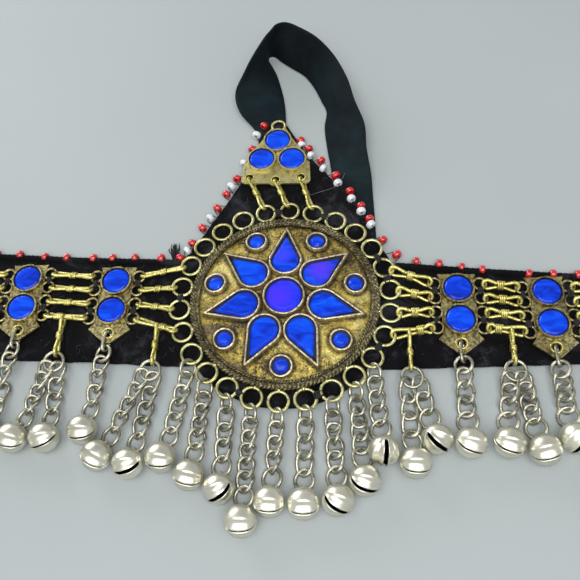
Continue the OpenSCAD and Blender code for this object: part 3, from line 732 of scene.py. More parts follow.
def ribbon_strap():
    """A soft woven ribbon, bent on the path of the CAD strap, and the length of its middle line."""
    rows = catmull(STRAP_ROWS, 12)
    n, across = len(rows), 17
    inner, outer = at_height(rows[:, :2], STRAP_Z), rows[:, 2:]
    middle = (inner + outer) / 2
    normal = unit_rows(np.cross(outer - inner, np.gradient(middle, axis=0)))
    length = lengths(middle)
    t = np.linspace(0, 1, across)
    base = inner[:, None] + (outer - inner)[:, None] * t[None, :, None]
    loose = smoothstep(length, 14, 30) * (1 - smoothstep(length, length[-1] - 30, length[-1] - 16))
    spots = [(run, share * STRAP_W) for run in length for share in t]
    sag = ripples(spots, (0.5, 11, 2.0), (0.28, 4.5, 6.0)).reshape(n, across)
    sag *= (0.15 + 0.85 * loose[:, None]) * np.sin(np.pi * np.clip(t, 0.04, 0.96))[None, :]
    rim = 0.34 - 0.1 * smoothstep(np.minimum(t, 1 - t), 0.05, 0.12)
    upper = base + normal[:, None] * (sag + rim[None, :])[..., None]
    lower = base + normal[:, None] * (sag - rim[None, :])[..., None]
    ring = np.concatenate([upper, lower[:, ::-1]], axis=1)
    ring[..., 2] = np.maximum(ring[..., 2], 0.06)
    cap = np.array([(j, j + 1, 2 * across - 2 - j, 2 * across - 1 - j) for j in range(across - 1)])
    lump = Lump()
    lump.add(ring.reshape(-1, 3), np.vstack([
        grid_faces(n, 2 * across, False, True), cap[:, ::-1], cap + (n - 1) * 2 * across]))
    return lump.finish("ribbon_strap", [RIBBON], "ribbon", ["strap"]), float(length[-1])


def medallion_disc():
    """The domed sheet with the dents of hand work."""
    rings, steps = ((84, 300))
    flat = np.vstack([flat_circle(r, steps) for r in np.linspace(0.4, DOME_R, rings)])
    low = ripples(flat, (0.16, 7, 1.0), (0.09, 2.4, 4.0), (0.04, 0.9, 8.0))
    face = at_height(flat, dome_z(np.hypot(*flat.T)) + low - 0.02)
    lump = Lump()
    lump.add(face, grid_faces(rings, steps, False, True))
    lump.add(np.vstack([face[:steps], (0, 0, dome_z(0))]), fan(steps, steps))
    under = np.linspace(DOME_R, 0.2, 12)
    lump.add([at_height(flat_circle(r, steps), dome_z(r) - DISC_T) for r in under],
             grid_faces(len(under), steps, False, True))
    piece = lump.finish("medallion_disc", [DISC], "old_brass", ["medallion"])
    # The painted shade at the bezels' feet and the rim, stored on the disc's points.
    darkening = piece.data.attributes.new("darkening", "FLOAT", "POINT")
    darkening.data.foreach_set("value", painted_bezel_shade(np.vstack(lump.points)[:, :2]))
    return piece


def painted_bezel_shade(points):
    """How much painted shade each point of the disc gets: most of it at the bezels' feet and the rim."""
    feet = [flat_circle(CENTRE_R, 60)]
    for i in range(PETALS):
        for (turn, place), line in ((petal_frame(i), drop_path(PETAL_R, PETAL_TIP)),
                                    (small_frame(i), flat_circle(SMALL_R, 30))):
            feet.append((at_height(line, 0) @ turn.T + place)[:, :2])
    feet = np.vstack(feet)
    gap = np.array([np.min(np.hypot(*(feet - p).T)) for p in points])
    rim = DOME_R - np.hypot(*points.T)
    return np.maximum(smoothstep(-gap, -1.5, -0.5), 0.75 * smoothstep(-rim, -2.2, -0.2)).astype(np.float32)


def twisted_pair(lump, radius, z, strand, turns, sides):
    """Two strands of wire twisted round each other, bent to a circle."""
    a = angles(turns * 12)
    lay = strand * 0.9
    for phase in (0, pi):
        w = a * turns + phase
        path = at_height(on_circle(radius + lay * np.cos(w), a), z + lay * np.sin(w))
        lump.add(*tube(path, strand, sides, True))


def rope_border():
    """A rope of two twisted wires, a finer one inside it, and the solder below them."""
    lump = Lump()
    twisted_pair(lump, ROPE_R + 0.5, RING_Z + 0.35, 0.48, 74, 8)
    twisted_pair(lump, ROPE_R - 1.15, RING_Z + 0.75, 0.3, 96, 6)
    lump.add(*tube(circle_path((0, 0, RING_Z - 0.2), ROPE_R - 0.1, 130), 1.15, 10, True))
    return lump.finish("rope_border", [ROPE], "old_brass", ["medallion"])


def soldered_rings():
    lump = Lump()
    for i in range(RING_COUNT):
        at = ring_at(i)
        turn = spin(jitter(3), jitter(3), bearing(at))
        size = RING_R * (1 + jitter(0.02))
        path = circle_path((*at, RING_Z), size, 44, turn, 1 + jitter(0.04))
        swell = 1 + 0.05 * np.sin(2 * angles(44) + i)
        lump.add(*tube(path, RING_WIRE / 2 * swell, 10, True, 0.92))
        foot = unit(at) * (RING_CIRCLE_R - RING_R - 0.1)
        lump.add(*tube([(*(foot * 0.975), RING_Z - 0.1), (*foot, RING_Z), (*(foot * 1.012), RING_Z)],
                       [0.75, 0.7, 0.5], 8))
    lump.finish("soldered_rings", [RINGS], "brass_wire", ["medallion"])


def drop_path(r, tip, steps=26, line=16, blunt=0.25):
    """Teardrop outline with its tip on +Y."""
    a = acos(r / tip)
    arc = np.linspace(pi / 2 - a, -3 * pi / 2 + a, steps * 2)
    pts = on_circle(r, arc)
    top = np.array([0, tip])
    stop = 1 - blunt / np.linalg.norm(top - pts[-1])
    up = [pts[-1] + (top - pts[-1]) * stop * i / line for i in range(1, line + 1)]
    down = [pts[0] + (top - pts[0]) * stop * i / line for i in range(line, 0, -1)]
    return np.vstack([pts, up, down])


def petal_frame(i):
    """Turn and place of a petal's flat frame, which lies on the dome near the petal's tip."""
    mid = 17
    slope = tan(radians(PETAL_TILT))
    turn = spin(0, 0, -i * 360 / PETALS)
    place = turn @ np.array([0, PETAL_MID, dome_z(mid) + slope * (mid - PETAL_MID)])
    return turn @ spin(-PETAL_TILT, 0, 0), place


def small_frame(i):
    turn = spin(0, 0, -(i + 0.5) * 360 / PETALS)
    return turn @ spin(-SMALL_TILT, 0, 0), turn @ np.array([0, SMALL_MID, dome_z(SMALL_MID)])


def outward(path):
    """Normals of a closed flat outline that point away from its inside."""
    run = unit_rows(np.roll(path, -1, 0) - np.roll(path, 1, 0))
    out = np.stack([run[:, 1], -run[:, 0]], 1)
    return out if ccw(path) else -out


def bezel(lump, path, low, high, turn, place, seed):
    """A strip of sheet bent to a closed outline and soldered on, its rim a little uneven."""
    out = outward(path)
    wall = BEZEL_WALL
    rim = ripples(at_height(path, seed), (0.09, 2.3, seed))
    lean = ripples(at_height(path, seed), (0.08, 4.0, seed + 5))
    profile = ((0.28, low, 0), (0.1, low + 0.35, 0), (0.0, high - 0.25, 0.5), (-0.08, high - 0.05, 1),
               (-wall / 2, high, 1), (-wall + 0.08, high - 0.05, 1), (-wall, high - 0.25, 0.5),
               (-wall, low + 0.2, 0), (-wall - 0.05, low, 0))
    rows = [at_height(path + out * (off + lean * edge)[:, None], z + rim * edge) for off, z, edge in profile]
    lump.add(np.stack(rows, 1).reshape(-1, 3) @ turn.T + place, grid_faces(len(path), len(rows), True, True))


def stone_bezels():
    lump, seats = Lump(), Lump()
    flat = [((spin(0, 0, 0), np.array([0.0, 0.0, dome_z(0)])), flat_circle(CENTRE_R, 72), 1.8)]
    for i in range(PETALS):
        flat.append((petal_frame(i), drop_path(PETAL_R, PETAL_TIP), BEZEL_H))
        flat.append((small_frame(i), flat_circle(SMALL_R, 48), BEZEL_H - 0.2))
    for seed, ((turn, place), path, high) in enumerate(flat):
        bezel(lump, path, -0.25, high, turn, place, seed * 3.1)
        # A dark seat under each stone paints the shade in the gap round it.
        inner = path - outward(path) * 0.5
        seat = at_height(np.vstack([inner, inner.mean(0)]), 0.1)
        seats.add(seat @ turn.T + place, fan(len(path), len(path), 0, not ccw(path)))
    lump.finish("stone_bezels", [BEZEL], "old_brass", ["medallion"])
    seats.finish("stone_seats", [SEAT_SHADE], "old_brass")


def slab(lump, path, height, bevel, turn, place, facets=0, seed=0.0):
    """Cut glass: a girdle, a bevel and a table that is very slightly crowned."""
    crown = 0.1
    centre, out = path.mean(0), outward(path)
    rings = [at_height(path + out * o, z) for o, z in
             ((-0.06, 0.0), (0.0, 0.1), (0.0, height - bevel - 0.04), (-0.05, height - bevel))]
    table = path - out * bevel - centre
    if facets:
        step = 2 * pi / facets
        local = (np.arctan2(*(path - centre).T[::-1]) + seed) % step - step / 2
        table *= (cos(step / 2) / np.cos(local))[:, None]
    rings += [at_height(centre + table * share, height + z) for share, z in
              ((1.0, -0.03), (0.97, 0), (0.7, crown * 0.5), (0.4, crown * 0.85))]
    m, flip = len(path), not ccw(path)
    quads = grid_faces(len(rings), m, False, True)
    points = np.vstack([*rings, (*centre, height + crown), (*centre, 0.0)]) @ turn.T + place
    top = len(rings) * m
    lump.add(points, quads[:, ::-1] if flip else quads)
    lump.add(points, np.vstack([fan(m, top, top - m, flip), fan(m, top + 1, 0, not flip)]))


def petal_stones():
    share = (PETAL_R - BEZEL_WALL - STONE_GAP) / PETAL_R
    looks = [GLASS] * PETALS
    looks[0] = glass_look("blue_glass_tinge", DEEP, BLUE, SKY, (48, 60, 240), (-1, 15), 4.5)
    looks[1] = glass_look("blue_glass_violet", DEEP, BLUE, SKY, VIOLET, (11.5, 9.5), 5.5)
    for i, look in enumerate(looks):
        lump = Lump()
        turn, place = petal_frame(i)
        path = drop_path(PETAL_R * share, PETAL_TIP * share - 0.9, 22, 14, 0.5)
        slab(lump, path, 1.35, 0.6, turn @ spin(jitter(2.5), jitter(2.5), 0), place + [0, 0, 0.16])
        lump.finish(f"petal_glass_{i + 1}", [look], "blue_glass", [f"petal_stone_{i + 1}"], smooth=False)


def round_glass(lump, r, height, bevel, turn, place, seed, facets):
    slab(lump, flat_circle(r, facets * 5), height, bevel, turn, place, facets, seed)


def plate_glass(lump, seats, at):
    """A round stone of a plate, and a dark seat under it that paints the shade in the gap round it."""
    x, y = at
    wide = STONE_BEZEL_R - PLATE_BEZEL_WALL
    round_glass(lump, wide - 0.35, 1.5, 0.5, spin(jitter(2), jitter(2), jitter(90)),
                np.array([x, y, PLATE_TOP + 0.14]), 0.0, 18)
    seat = (x, y, PLATE_TOP + 0.22)
    seats.add(np.vstack([circle_path(seat, wide + 0.05, 40), seat]), fan(40, 40))


def other_stones():
    lump = Lump()
    inset = BEZEL_WALL + STONE_GAP
    place = np.array([0, 0, dome_z(0) + 0.16])
    round_glass(lump, CENTRE_R - inset, 1.6, 0.8, spin(1.5, -2, 20), place, 0.3, 9)
    centre = glass_look("blue_glass_centre", (8, 22, 160), (14, 46, 228), (34, 70, 248), (60, 44, 222),
                        (-1.5, -0.5), 7)
    lump.finish("centre_glass", [centre], "blue_glass", ["centre_stone"], smooth=False)
    lump = Lump()
    for i in range(PETALS):
        turn, place = small_frame(i)
        round_glass(lump, SMALL_R - inset - 0.15, 1.3, 0.7, turn @ spin(jitter(4), jitter(4), jitter(40)),
                    place + [0, 0, 0.18], 0.0, 8)
    lump.finish("small_glass", [GLASS], "blue_glass", ["small_stones"], smooth=False)
    seats = Lump()
    for i, spot in enumerate(PEAK_STONES):
        lump = Lump()
        plate_glass(lump, seats, PEAK_AT + spot)
        lump.finish(f"peak_glass_{i + 1}", [GLASS], "blue_glass", [f"peak_stone_{i + 1}"])
    for k, row in enumerate(PLATE_ROWS):
        lump = Lump()
        for side in (-1, 1):
            plate_glass(lump, seats, on_plate(k, (0, side * STONE_PITCH / 2)))
        lump.finish(f"plate_glass_{row[0]}", [GLASS], "blue_glass", [f"plate_stones_{row[0]}"])
    seats.finish("plate_seats", [SEAT_SHADE], "plate_brass")


def eyelet_rims():
    """Rolled rims of the holes that the chains and links hang in."""
    lump = Lump()
    rims = [(on_plate(k, EYELET), 0.06, 1.75, 30, 0.34) for k in range(6)]
    rims += [(PEAK_AT + hole, 0.04, 1.5, 28, 0.26) for hole in PEAK_EYELETS]
    for at, lift, r, steps, wire in rims:
        lump.add(*tube(circle_path((*at, PLATE_TOP + lift), r, steps), wire, 8, True))
    lump.finish("eyelet_rims", [LINKS], "plate_brass")


def collared_link(lump, p, q, roll, wire_p, wire_q, shift, width):
    """A wire loop pinched in the middle, with the wire's end wrapped round it as a collar."""
    toward = unit(q - p)
    a = p - toward * ((wire_p + LINK_WIRE) / 2 + LINK_SLACK)
    b = q + toward * ((wire_q + LINK_WIRE) / 2 + LINK_SLACK)
    half, r = np.linalg.norm(b - a) / 2, width / 2
    turn, middle = span_frame(a, b, roll)
    bend = np.radians(np.linspace(90, -90, 13))
    right = on_circle(r, bend) + [half - r, 0]

    def strand(start, end):
        side = 1 if start[1] > 0 else -1
        out = []
        for s in np.linspace(0, 1, 16)[1:-1]:
            x = start[0] + (end[0] - start[0]) * s
            reach = half - r - abs(shift) * np.sign(x - shift) * np.sign(shift) + 0.2
            gap = float(smoothstep(abs(x - shift), 0.9, reach))
            out.append((x, LINK_PINCH * side + (start[1] - LINK_PINCH * side) * gap))
        return out

    loop = np.vstack([right, strand(right[-1], -right[0]), -right, strand(-right[-1], right[0])])
    lump.add(*tube(at_height(loop, 0) @ turn.T + middle, LINK_THICK / 2, 9, True))
    s = np.linspace(0, COLLAR_TURNS * 2 * pi, COLLAR_TURNS * 18)
    thick = COLLAR_L / COLLAR_TURNS / 2
    x = shift - COLLAR_L / 2 + thick + (COLLAR_L - 2 * thick) * s / s[-1]
    lift = COLLAR_WALL + LINK_WIRE / 2 - thick + 0.12
    c, d = (np.sign(v) * np.abs(v) ** 0.75 for v in (np.cos(s), np.sin(s)))
    coil = np.stack([x, (LINK_PINCH + lift) * c, lift * d], 1)
    lump.add(*tube(coil @ turn.T + middle, thick * 1.12, 7))


def row_anchor(which, row, outside):
    """Centre, radius and wire of the ring that a row of links hangs on."""
    if isinstance(which, tuple):
        return ring_at(which[0] + which[1] * row), RING_R, RING_WIRE
    return on_plate(which, (outside * SIDE_RING_X, SIDE_RING_Y[row])), SIDE_RING_R, SIDE_WIRE


def link_rows():
    for name, first, second, hang, shift in LINK_ROWS:
        lump = Lump()
        away = -1 if hang[0] < 0 else 1
        for row in range(4):
            (a, ra, wire_a), (b, rb, wire_b) = row_anchor(first, row, away), row_anchor(second, row, -away)
            p, q = a + unit(b - a) * ra, b - unit(b - a) * rb
            collared_link(lump, np.append(p, RING_Z), np.append(q, RING_Z), LINK_ROLL, wire_a, wire_b,
                          shift * away if row == 3 else 0, LINK_W)
        over = p + (q - p) * (hang[0] - p[0]) / (q[0] - p[0])
        start = np.array([over[0], over[1] - 0.75 * DROP_W + LINK_WIRE + SLACK + 0.45, RING_Z])
        stop = np.array([hang[0], hang[1] + 1, RING_Z])
        collared_link(lump, start, stop, 90, LINK_WIRE, LINK_WIRE, 0.6, DROP_W)
        lump.finish(f"wire_links_{name}", [LINKS], "brass_wire", [f"links_{name}"])
    lump = Lump()
    for i, hole in enumerate(PEAK_EYELETS):
        ring, top = ring_at(i), PEAK_AT + hole
        toward = unit(top - ring)
        low, top = ring + toward * RING_R, top - toward * (LINK_WIRE + LINK_SLACK)
        collared_link(lump, np.append(low, RING_Z - 0.05), np.append(top, 2.85), PEAK_ROLL, RING_WIRE,
                      LINK_WIRE, 0, LINK_W + 0.15)
    lump.finish("wire_links_peak", [LINKS], "brass_wire", ["peak_links"])


def curb_link(lump, p, q, width, twist, roll=0.0):
    """A chain link: an oval of wire whose ends are turned against each other."""
    length = np.linalg.norm(q - p) + CURB_WIRE + CURB_LOOSE
    turn, middle = span_frame(p, q, roll)
    a = angles(40)
    u = width / 2 * np.cos(a) + max(0.0, (length - width) / 2) * np.tanh(3 * np.cos(a))
    u *= (length / 2) / np.max(u)
    v = width / 2 * np.sin(a)
    phi = np.radians(twist) * u / (length / 2)
    path = np.stack([u, v * np.cos(phi), v * np.sin(phi)], 1)
    points, faces = tube(path @ turn.T + middle, CURB_WIRE / 2 * (1 + jitter(0.04)), 9, True)
    points[:, 2] += max(0.0, 0.03 - points[:, 2].min())
    lump.add(points, faces)


def wire_ring_between(lump, p, q, roll):
    turn, middle = span_frame(p, q, roll)
    r = (np.linalg.norm(q - p) + CHAIN_WIRE + SLACK) / 2
    lump.add(*tube(circle_path(middle, r, 44, turn), CURB_WIRE / 2, 9, True))


def bell_skin(cols, slot, inset):
    """One skin of a bell, from one lip of its slot round the back to the other."""
    pts = np.zeros((BELL_ROWS, cols, 3))
    for i, lat in enumerate(np.linspace(-1, 1, BELL_ROWS) * radians(89.4)):
        open_here = float(smoothstep(radians(84) - abs(lat), 0.0, 0.2))
        gap = asin(min(0.9, slot / 2 / (BELL_R * max(cos(lat), 0.12)))) * open_here
        s = np.linspace(0, 1, cols)
        s = s - 0.10 * np.sin(2 * pi * s)
        lon = gap + (2 * pi - 2 * gap) * s
        way = np.stack([cos(lat) * np.cos(lon), np.full(cols, sin(lat)), cos(lat) * np.sin(lon)], 1)
        across = np.hypot(way[:, 1], way[:, 2])
        tilt = np.arctan2(across, way[:, 0])
        rho = (BELL_R - BELL_H) * smoothstep(np.sin(tilt), 0.0, 0.45) + BELL_H * np.sin(tilt)
        squash = rho / np.maximum(across, 1e-6)
        pos = np.stack([BELL_H * np.cos(tilt), way[:, 1] * squash, way[:, 2] * squash], 1)
        from_lip = np.minimum(lon - gap, 2 * pi - gap - lon)
        dip = -0.55 * np.sin(np.clip((from_lip - 0.1) / 0.62, 0, 1) * pi)
        ridge = 0.16 * np.exp(-((from_lip - 0.78) / 0.09) ** 2)
        lip = 0.2 * np.exp(-(from_lip / 0.08) ** 2)
        size = np.linalg.norm(pos, axis=1)
        pts[i] = pos * ((size + (dip + ridge + lip) * cos(lat) ** 1.5 - inset) / size)[:, None]
    return pts


# Points of a bell: rows, columns of its outer skin and of its inner skin
BELL_ROWS, BELL_COLS, BELL_BACK = 27, 47, 19
NARROW_BELL, WIDE_BELL = (
    np.hstack([bell_skin(BELL_COLS, slot, 0.0), bell_skin(BELL_BACK, slot + 0.05, BELL_WALL)[:, ::-1]])
    for slot in (BELL_SLOT, BELL_GAPE))


def bell(lump, centre, heading, slot_turn):
    """A bell with its dents, its inside painted dark as shade, and the wire eye on its back."""
    turn = spin(0, -BELL_TILT, heading)
    size = 1 + jitter(0.015)
    skin = (WIDE_BELL if abs(slot_turn) > WIDE_TURN else NARROW_BELL) * size
    total = BELL_COLS + BELL_BACK
    pts = skin.reshape(-1, 3) @ (turn @ spin(slot_turn, 0, 0)).T + centre
    pts[:, 2] += max(0, 0.04 - pts[:, 2].min())
    faces = grid_faces(BELL_ROWS, total, False, True)[:, ::-1]
    outer = faces[:, 3] % total < BELL_COLS
    lump.add(pts, faces[outer], 1)
    # The inner skin gets the painted shade.
    lump.add(pts, faces[~outer], 2)
    ring = circle_path((EYE_R - BELL_EYE - 1.05, 0, 0), EYE_R, 28, spin(90, 0, 0))
    lump.add(*tube(ring @ turn.T + centre, 0.46, 8, True), 1)


def chain_points(start, finish, steps, hold):
    """Ends of a chain's links, which run level, sink to the table and rise to the bell."""
    at = np.concatenate([[0], np.cumsum(steps)])
    out = []
    for i, s in enumerate(at):
        xy = start[:2] + (finish[:2] - start[:2]) * s / at[-1]
        z = finish[2] if i == len(at) - 1 else max(LIE_Z, start[2] - 0.34 * max(0, s - hold))
        out.append(np.array([*xy, z]))
    return out


def bell_run(lump, start, bell_at, links, slot_turn, lift, side, first, hold, first_roll=False):
    """Lead-in rings, twisted links, the end ring and the bell."""
    heading = unit(bell_at - start[:2])
    centre = np.array([*bell_at, BELL_Z + lift])
    tilt = radians(BELL_TILT)
    eye_xy = bell_at - heading * BELL_EYE * cos(tilt)
    finish = np.array([*(eye_xy - heading * (CHAIN_WIRE + SLACK) / 2), centre[2] - BELL_EYE * sin(tilt)])
    ring_pitch = 2 * END_RING_R - CHAIN_WIRE - SLACK
    lead = [row[0] for row in first]
    pitch = (np.linalg.norm(finish[:2] - start[:2]) - sum(lead) - ring_pitch) / links
    pts = chain_points(start, finish, lead + [pitch] * links + [ring_pitch], hold)
    n = len(first)
    for i, (_, roll, width) in enumerate(first):
        if width == 2 * JUMP_R:
            wire_ring_between(lump, pts[i], pts[i + 1], roll)
        else:
            curb_link(lump, pts[i], pts[i + 1], width, 0, roll)
    for i in range(links):
        roll = 20 * side + jitter(20)
        if i == 0 and first_roll:
            roll = 12 * side
        curb_link(lump, pts[n + i], pts[n + i + 1], CHAIN_W + jitter(0.2), 38 + jitter(7), roll)
    wire_ring_between(lump, pts[-2], pts[-1], END_RING_LEAN * side)
    bell(lump, centre, bearing(heading), slot_turn)


def chains():
    metals = [NICKEL, BELLS, PAINTED_BELL_SHADE]
    half_gap = (CHAIN_WIRE + SLACK) / 2
    jump_pitch = 2 * JUMP_R - CHAIN_WIRE - SLACK
    eyelet_z = 2.95
    for k, (ring, x, y, links, slot_turn, lift, side) in enumerate(MEDALLION_CHAINS):
        lump = Lump()
        at = ring_at(ring)
        begin = at + unit(np.array([x, y]) - at) * (RING_R - half_gap - 0.03)
        lean = 50 * (side if links % 2 else -side)
        bell_run(lump, np.append(begin, RING_Z), np.array([x, y]), links, slot_turn, lift, side,
                 [(jump_pitch, lean, 2 * JUMP_R)], 0)
        lump.finish(f"bells_{k + 1}", metals, "nickel", [f"bell_chain_{k + 1}"])
    for k, row in enumerate(PLATE_ROWS):
        lump = Lump()
        hole, bell_at = on_plate(k, EYELET), np.array(row[4:6])
        begin = hole + unit(bell_at - hole) * half_gap
        bell_run(lump, np.append(begin, eyelet_z), bell_at, PLATE_LINKS, row[6], 0, 1,
                 [(OVAL_PITCH, -60, OVAL_W), (jump_pitch, 23, 2 * JUMP_R)], 13)
        lump.finish(f"bells_plate_{row[0]}", metals, "nickel", [f"plate_chain_{row[0]}"])
    drop_to = 0.4
    gap = 2 * (DROP_RING_R - half_gap)
    for k, row in enumerate(DROP_ROWS):
        lump = Lump()
        name, *_, hang, _ = LINK_ROWS[k]
        bells = [np.array(row[0:2]), np.array(row[5:7])]
        axis = unit((bells[0] + bells[1]) / 2 - hang)
        tip = np.array(hang) + [0, LINK_WIRE / 2]
        ring_mid = tip + axis * gap / 2
        wire_ring_between(lump, np.append(tip, RING_Z), np.append(tip + axis * gap, RING_Z - drop_to), 0)
        for i in (0, 1):
            wire_at = ring_mid + turned(axis, (2 * i - 1) * DROP_SPREAD) * DROP_RING_R
            spot = wire_at - unit(bells[i] - wire_at) * (half_gap + OBLIQUE)
            z = RING_Z - drop_to / 2 - drop_to / gap * float((spot - ring_mid) @ axis)
            links, slot_turn, side = row[5 * i + 2:5 * i + 5]
            bell_run(lump, np.append(spot, z), bells[i], links, slot_turn, 0, side, [], 2, True)
        lump.finish(f"bells_drop_{name}", metals, "nickel", [f"drop_chains_{name}"])


def seed_bead(lump, centre, heading, lean):
    """A seed bead: a fat ring of glass with its hole along the thread."""
    steps, sides = 20, 12
    ring_r, wall, half_l = 0.98, 0.62, 0.98
    a, b = angles(steps)[:, None], angles(sides)
    size = 1 + jitter(0.06)
    r = (ring_r + wall * np.cos(b)) * size
    x = half_l * np.sign(np.sin(b)) * np.abs(np.sin(b)) ** 0.85 * size
    pts = np.stack([np.broadcast_to(x, (steps, sides)), r * np.cos(a), r * np.sin(a)], -1)
    lump.add(pts.reshape(-1, 3) @ spin(0, lean, heading).T + centre,
             grid_faces(steps, sides, True, True)[:, ::-1])


def edge_heading(p):
    """Direction of the cloth's nearest upper edge, and the nearest point on it."""
    pts = np.asarray(CLOTH_OUTLINE[:18], float)
    found = []
    for a, b in zip(pts[:-1], pts[1:]):
        near = a + (b - a) * float(np.clip(np.dot(p - a, b - a) / np.dot(b - a, b - a), 0, 1))
        found.append((np.linalg.norm(p - near), bearing(b - a), near))
    return min(found, key=lambda row: row[0])[1:]


def beads_and_threads():
    """Seed beads with their stitches, ties between rings, and the tuft of thread ends at the left."""
    threads = Lump()
    bead_z, stitch_z, wire = 1.66, 1.5, 0.13
    for colour, look in (("red", RED), ("white", WHITE)):
        lump = Lump()
        for p in np.array(BEADS[colour], float):
            heading, near = edge_heading(p)
            heading += jitter(16)
            seed_bead(lump, np.array([*p, bead_z]), heading, jitter(8))
            run = on_circle(1, radians(heading))
            anchor = near - unit(p - near) * 0.4 if np.linalg.norm(p - near) > 0.05 else near
            for sign in (-1, 1):
                end = p + run * sign * 1.25
                foot = anchor + run * sign * (1.9 + jitter(0.5))
                between = (end * 0.5 + foot * 0.5) + jitter(0.1)
                path = [(*p, bead_z), (*end, bead_z + 0.1), (*between, stitch_z), (*foot, stitch_z)]
                threads.add(*tube(catmull(path, 5), wire, 6))
        lump.finish(f"seed_beads_{colour}", [look], "blue_glass")
    for i in (0, 2, 5, 6, 9, 12, 15, 20):
        tie(threads, ring_at(i), ring_at(i + 1))
    for k in range(6):
        for side in (-1, 1):
            for row in (0, 2):
                a, b = (on_plate(k, (side * SIDE_RING_X, y)) for y in SIDE_RING_Y[row:row + 2])
                tie(threads, a, b, 0.8)
    for i in range(34):
        base = np.array([-37.4 + jitter(1.0), 16.2 + jitter(0.7), 2.1])
        tip = base + np.array([-0.6 + jitter(1.3), 3.6 + jitter(1.9), 0.8 + jitter(0.7)])
        bend = (base + tip) / 2 + np.array([jitter(0.6), jitter(0.6), 0.5])
        threads.add(*tube(catmull([base, bend, tip], 5), wire, 4))
    threads.finish("black_threads", [THREAD], "velvet")


def tie(lump, a, b, size=1.0):
    """Loose thread wound between two neighbouring rings in uneven turns."""
    along = unit(b - a)
    across = np.array([-along[1], along[0]])
    turns, wire = 11, 0.24
    s = np.linspace(0, turns * 2 * pi, turns * 8)
    drift = (np.sin(s * 0.31 + jitter(3)) * 0.6 + np.sin(s * 0.73 + jitter(3)) * 0.45) * size
    wide = (1.25 + 0.3 * np.sin(s * 0.61 + jitter(3)) + 0.2 * np.sin(s * 0.23)) * size
    high = 0.62 + 0.14 * np.sin(s * 0.83)
    xy = (a + b) / 2 + (wide * np.cos(s))[:, None] * along + drift[:, None] * across
    lump.add(*tube(at_height(xy, RING_Z + high * np.sin(s)), wire, 4))


def lint():
    """Short pale fibres and a hair that lie on the velvet, and the black fuzz of its edges."""
    fluff, fuzz = Lump(), Lump()
    fibre, lie_z = 0.022, 1.72
    left = 190
    while left:
        p = np.array([RNG.uniform(-129, 122), RNG.uniform(-27, 72)])
        if not inside(p[None], CLOTH_OUTLINE)[0] or np.linalg.norm(p) < 31:
            continue
        left -= 1
        length = RNG.uniform(0.8, 3.2)
        a = RNG.uniform(0, 2 * pi)
        s = np.linspace(-0.5, 0.5, 7)
        head = a + jitter(0.9) * s * 2
        xy = p + on_circle(s * length, head)
        fluff.add(*tube(at_height(xy, lie_z + 0.1 * np.sin(s * 6 + a)), fibre, 3))
    hair = [(19.6, 51.6, 0.5), (19.2, 50.4, 1.95), (18, 47.6, 1.9), (16.6, 45.6, 1.8), (14.2, 44.2, 1.78),
            (10.6, 42.9, 1.78), (7.4, 41.7, 1.76)]
    fluff.add(*tube(catmull(hair, 8), 0.07, 5))
    fluff.finish("velvet_lint", [LINT], "velvet")
    edge = resampled(CLOTH_OUTLINE, 0.36)
    for p, n in zip(edge, outward(edge)):
        base = np.array([*(p + n * jitter(0.1)), RNG.uniform(0.3, 1.5)])
        tip = base + np.array([*(n * RNG.uniform(0.05, 0.26)), jitter(0.15)])
        tip += np.array([jitter(0.15), jitter(0.15), 0])
        tip[2] = max(tip[2], 0.06)
        fuzz.add(*tube([base, (base + tip) / 2 + [0, 0, 0.05], tip], [0.04, 0.03, 0.015], 3))
    fuzz.finish("velvet_fuzz", [VELVET], "velvet")


def camera():
    """The photograph's own view, from its perspective: a square frame of 580 pixels."""
    focal_px, frame_px, elevation, azimuth, roll = 678.3, 580, 62.15, 9.73, -8.63
    place = np.array([18.87, -96.9, 196.1]) * MM
    data = bpy.data.cameras.new("camera")
    data.sensor_width = 36
    data.lens = focal_px / frame_px * data.sensor_width
    data.clip_start = 0.01
    view = bpy.data.objects.new("camera", data)
    e, a, r = (radians(t) for t in (elevation, azimuth, roll))
    back = np.array([sin(a) * cos(e), -cos(a) * cos(e), sin(e)])
    x = unit(np.cross([0, 0, 1], back))
    y = np.cross(back, x)
    right, up = cos(r) * x + sin(r) * y, -sin(r) * x + cos(r) * y
    matrix = Matrix(np.column_stack([right, up, back]).tolist()).to_4x4()
    matrix.translation = Vector(place)
    view.matrix_world = matrix
    SCENE.collection.objects.link(view)
    SCENE.camera = view


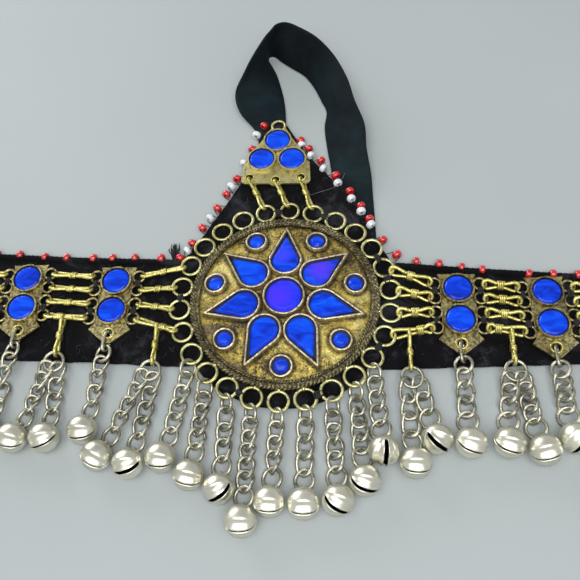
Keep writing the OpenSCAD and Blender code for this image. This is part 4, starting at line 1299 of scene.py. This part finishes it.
def area_light(name, at, size, watts, colour):
    """A rectangular light that shines on the origin."""
    data = bpy.data.lights.new(name, "AREA")
    data.shape = "RECTANGLE"
    data.size, data.size_y = size
    data.energy = watts
    data.color = colour
    lamp = bpy.data.objects.new(name, data)
    lamp.location = at
    lamp.rotation_euler = (-Vector(at)).to_track_quat("-Z", "Y").to_euler()
    SCENE.collection.objects.link(lamp)


def surroundings():
    look = Look("table_top", Roughness=0.55, Specular_IOR_Level=0.35)
    tone = look.ramp(look.noise(9, 3, 0.5), (0.3, 160, 167, 168), (0.7, 164, 171, 172))
    look.done(Base_Color=tone, Normal=look.bump(look.noise(700, 2, 0.5), 0.02, 0.4))
    mesh = bpy.data.meshes.new("table_top")
    half = 2.5
    corners = [(-half, -half, 0), (half, -half, 0), (half, half, 0), (-half, half, 0)]
    mesh.from_pydata(corners, [], [(0, 1, 2, 3)])
    mesh.materials.append(look.owner)
    table = bpy.data.objects.new("table_top", mesh)
    SCENE.collection.objects.link(table)
    area_light("ceiling", (0.0, -0.45, 1.15), (1.5, 1.0), 17, (1.0, 1.0, 0.99))
    area_light("window", (-0.9, 1.0, 0.5), (0.9, 0.6), 9, (0.97, 0.99, 1.0))
    room = Look("room", bpy.data.worlds, "Background", "Generated", Strength=0.8)
    height = room.node("ShaderNodeSeparateXYZ", "Z", {0: room.where})
    sky = room.ramp(height, (0.0, 0.75, 0.77, 0.78, 1), (0.75, 0.46, 0.47, 0.47, 1))
    SCENE.world = room.done(Color=sky)
    settings = SCENE.view_settings
    settings.view_transform = "Standard"
    settings.look = "None"


def dress_cad_nodes():
    """CAD nodes whose shape is right keep it and get their finish."""
    looks = {"peak_plate": PEAK, "end_hook": LINKS}
    looks.update({f"plate_{row[0]}": PLATE for row in PLATE_ROWS})
    for name, look in looks.items():
        for s in NODES[name].material_slots:
            s.material = look


camera()
surroundings()
backing = velvet_backing()
hems = [hem_cord("hem_cord_left", CLOTH_OUTLINE[0:4]), hem_cord("hem_cord_right", CLOTH_OUTLINE[14:18])]
strap, strap_length = ribbon_strap()
medallion_disc()
rope_border()
soldered_rings()
stone_bezels()
petal_stones()
other_stones()
link_rows()
chains()
beads_and_threads()
lint()
eyelet_rims()
dress_cad_nodes()
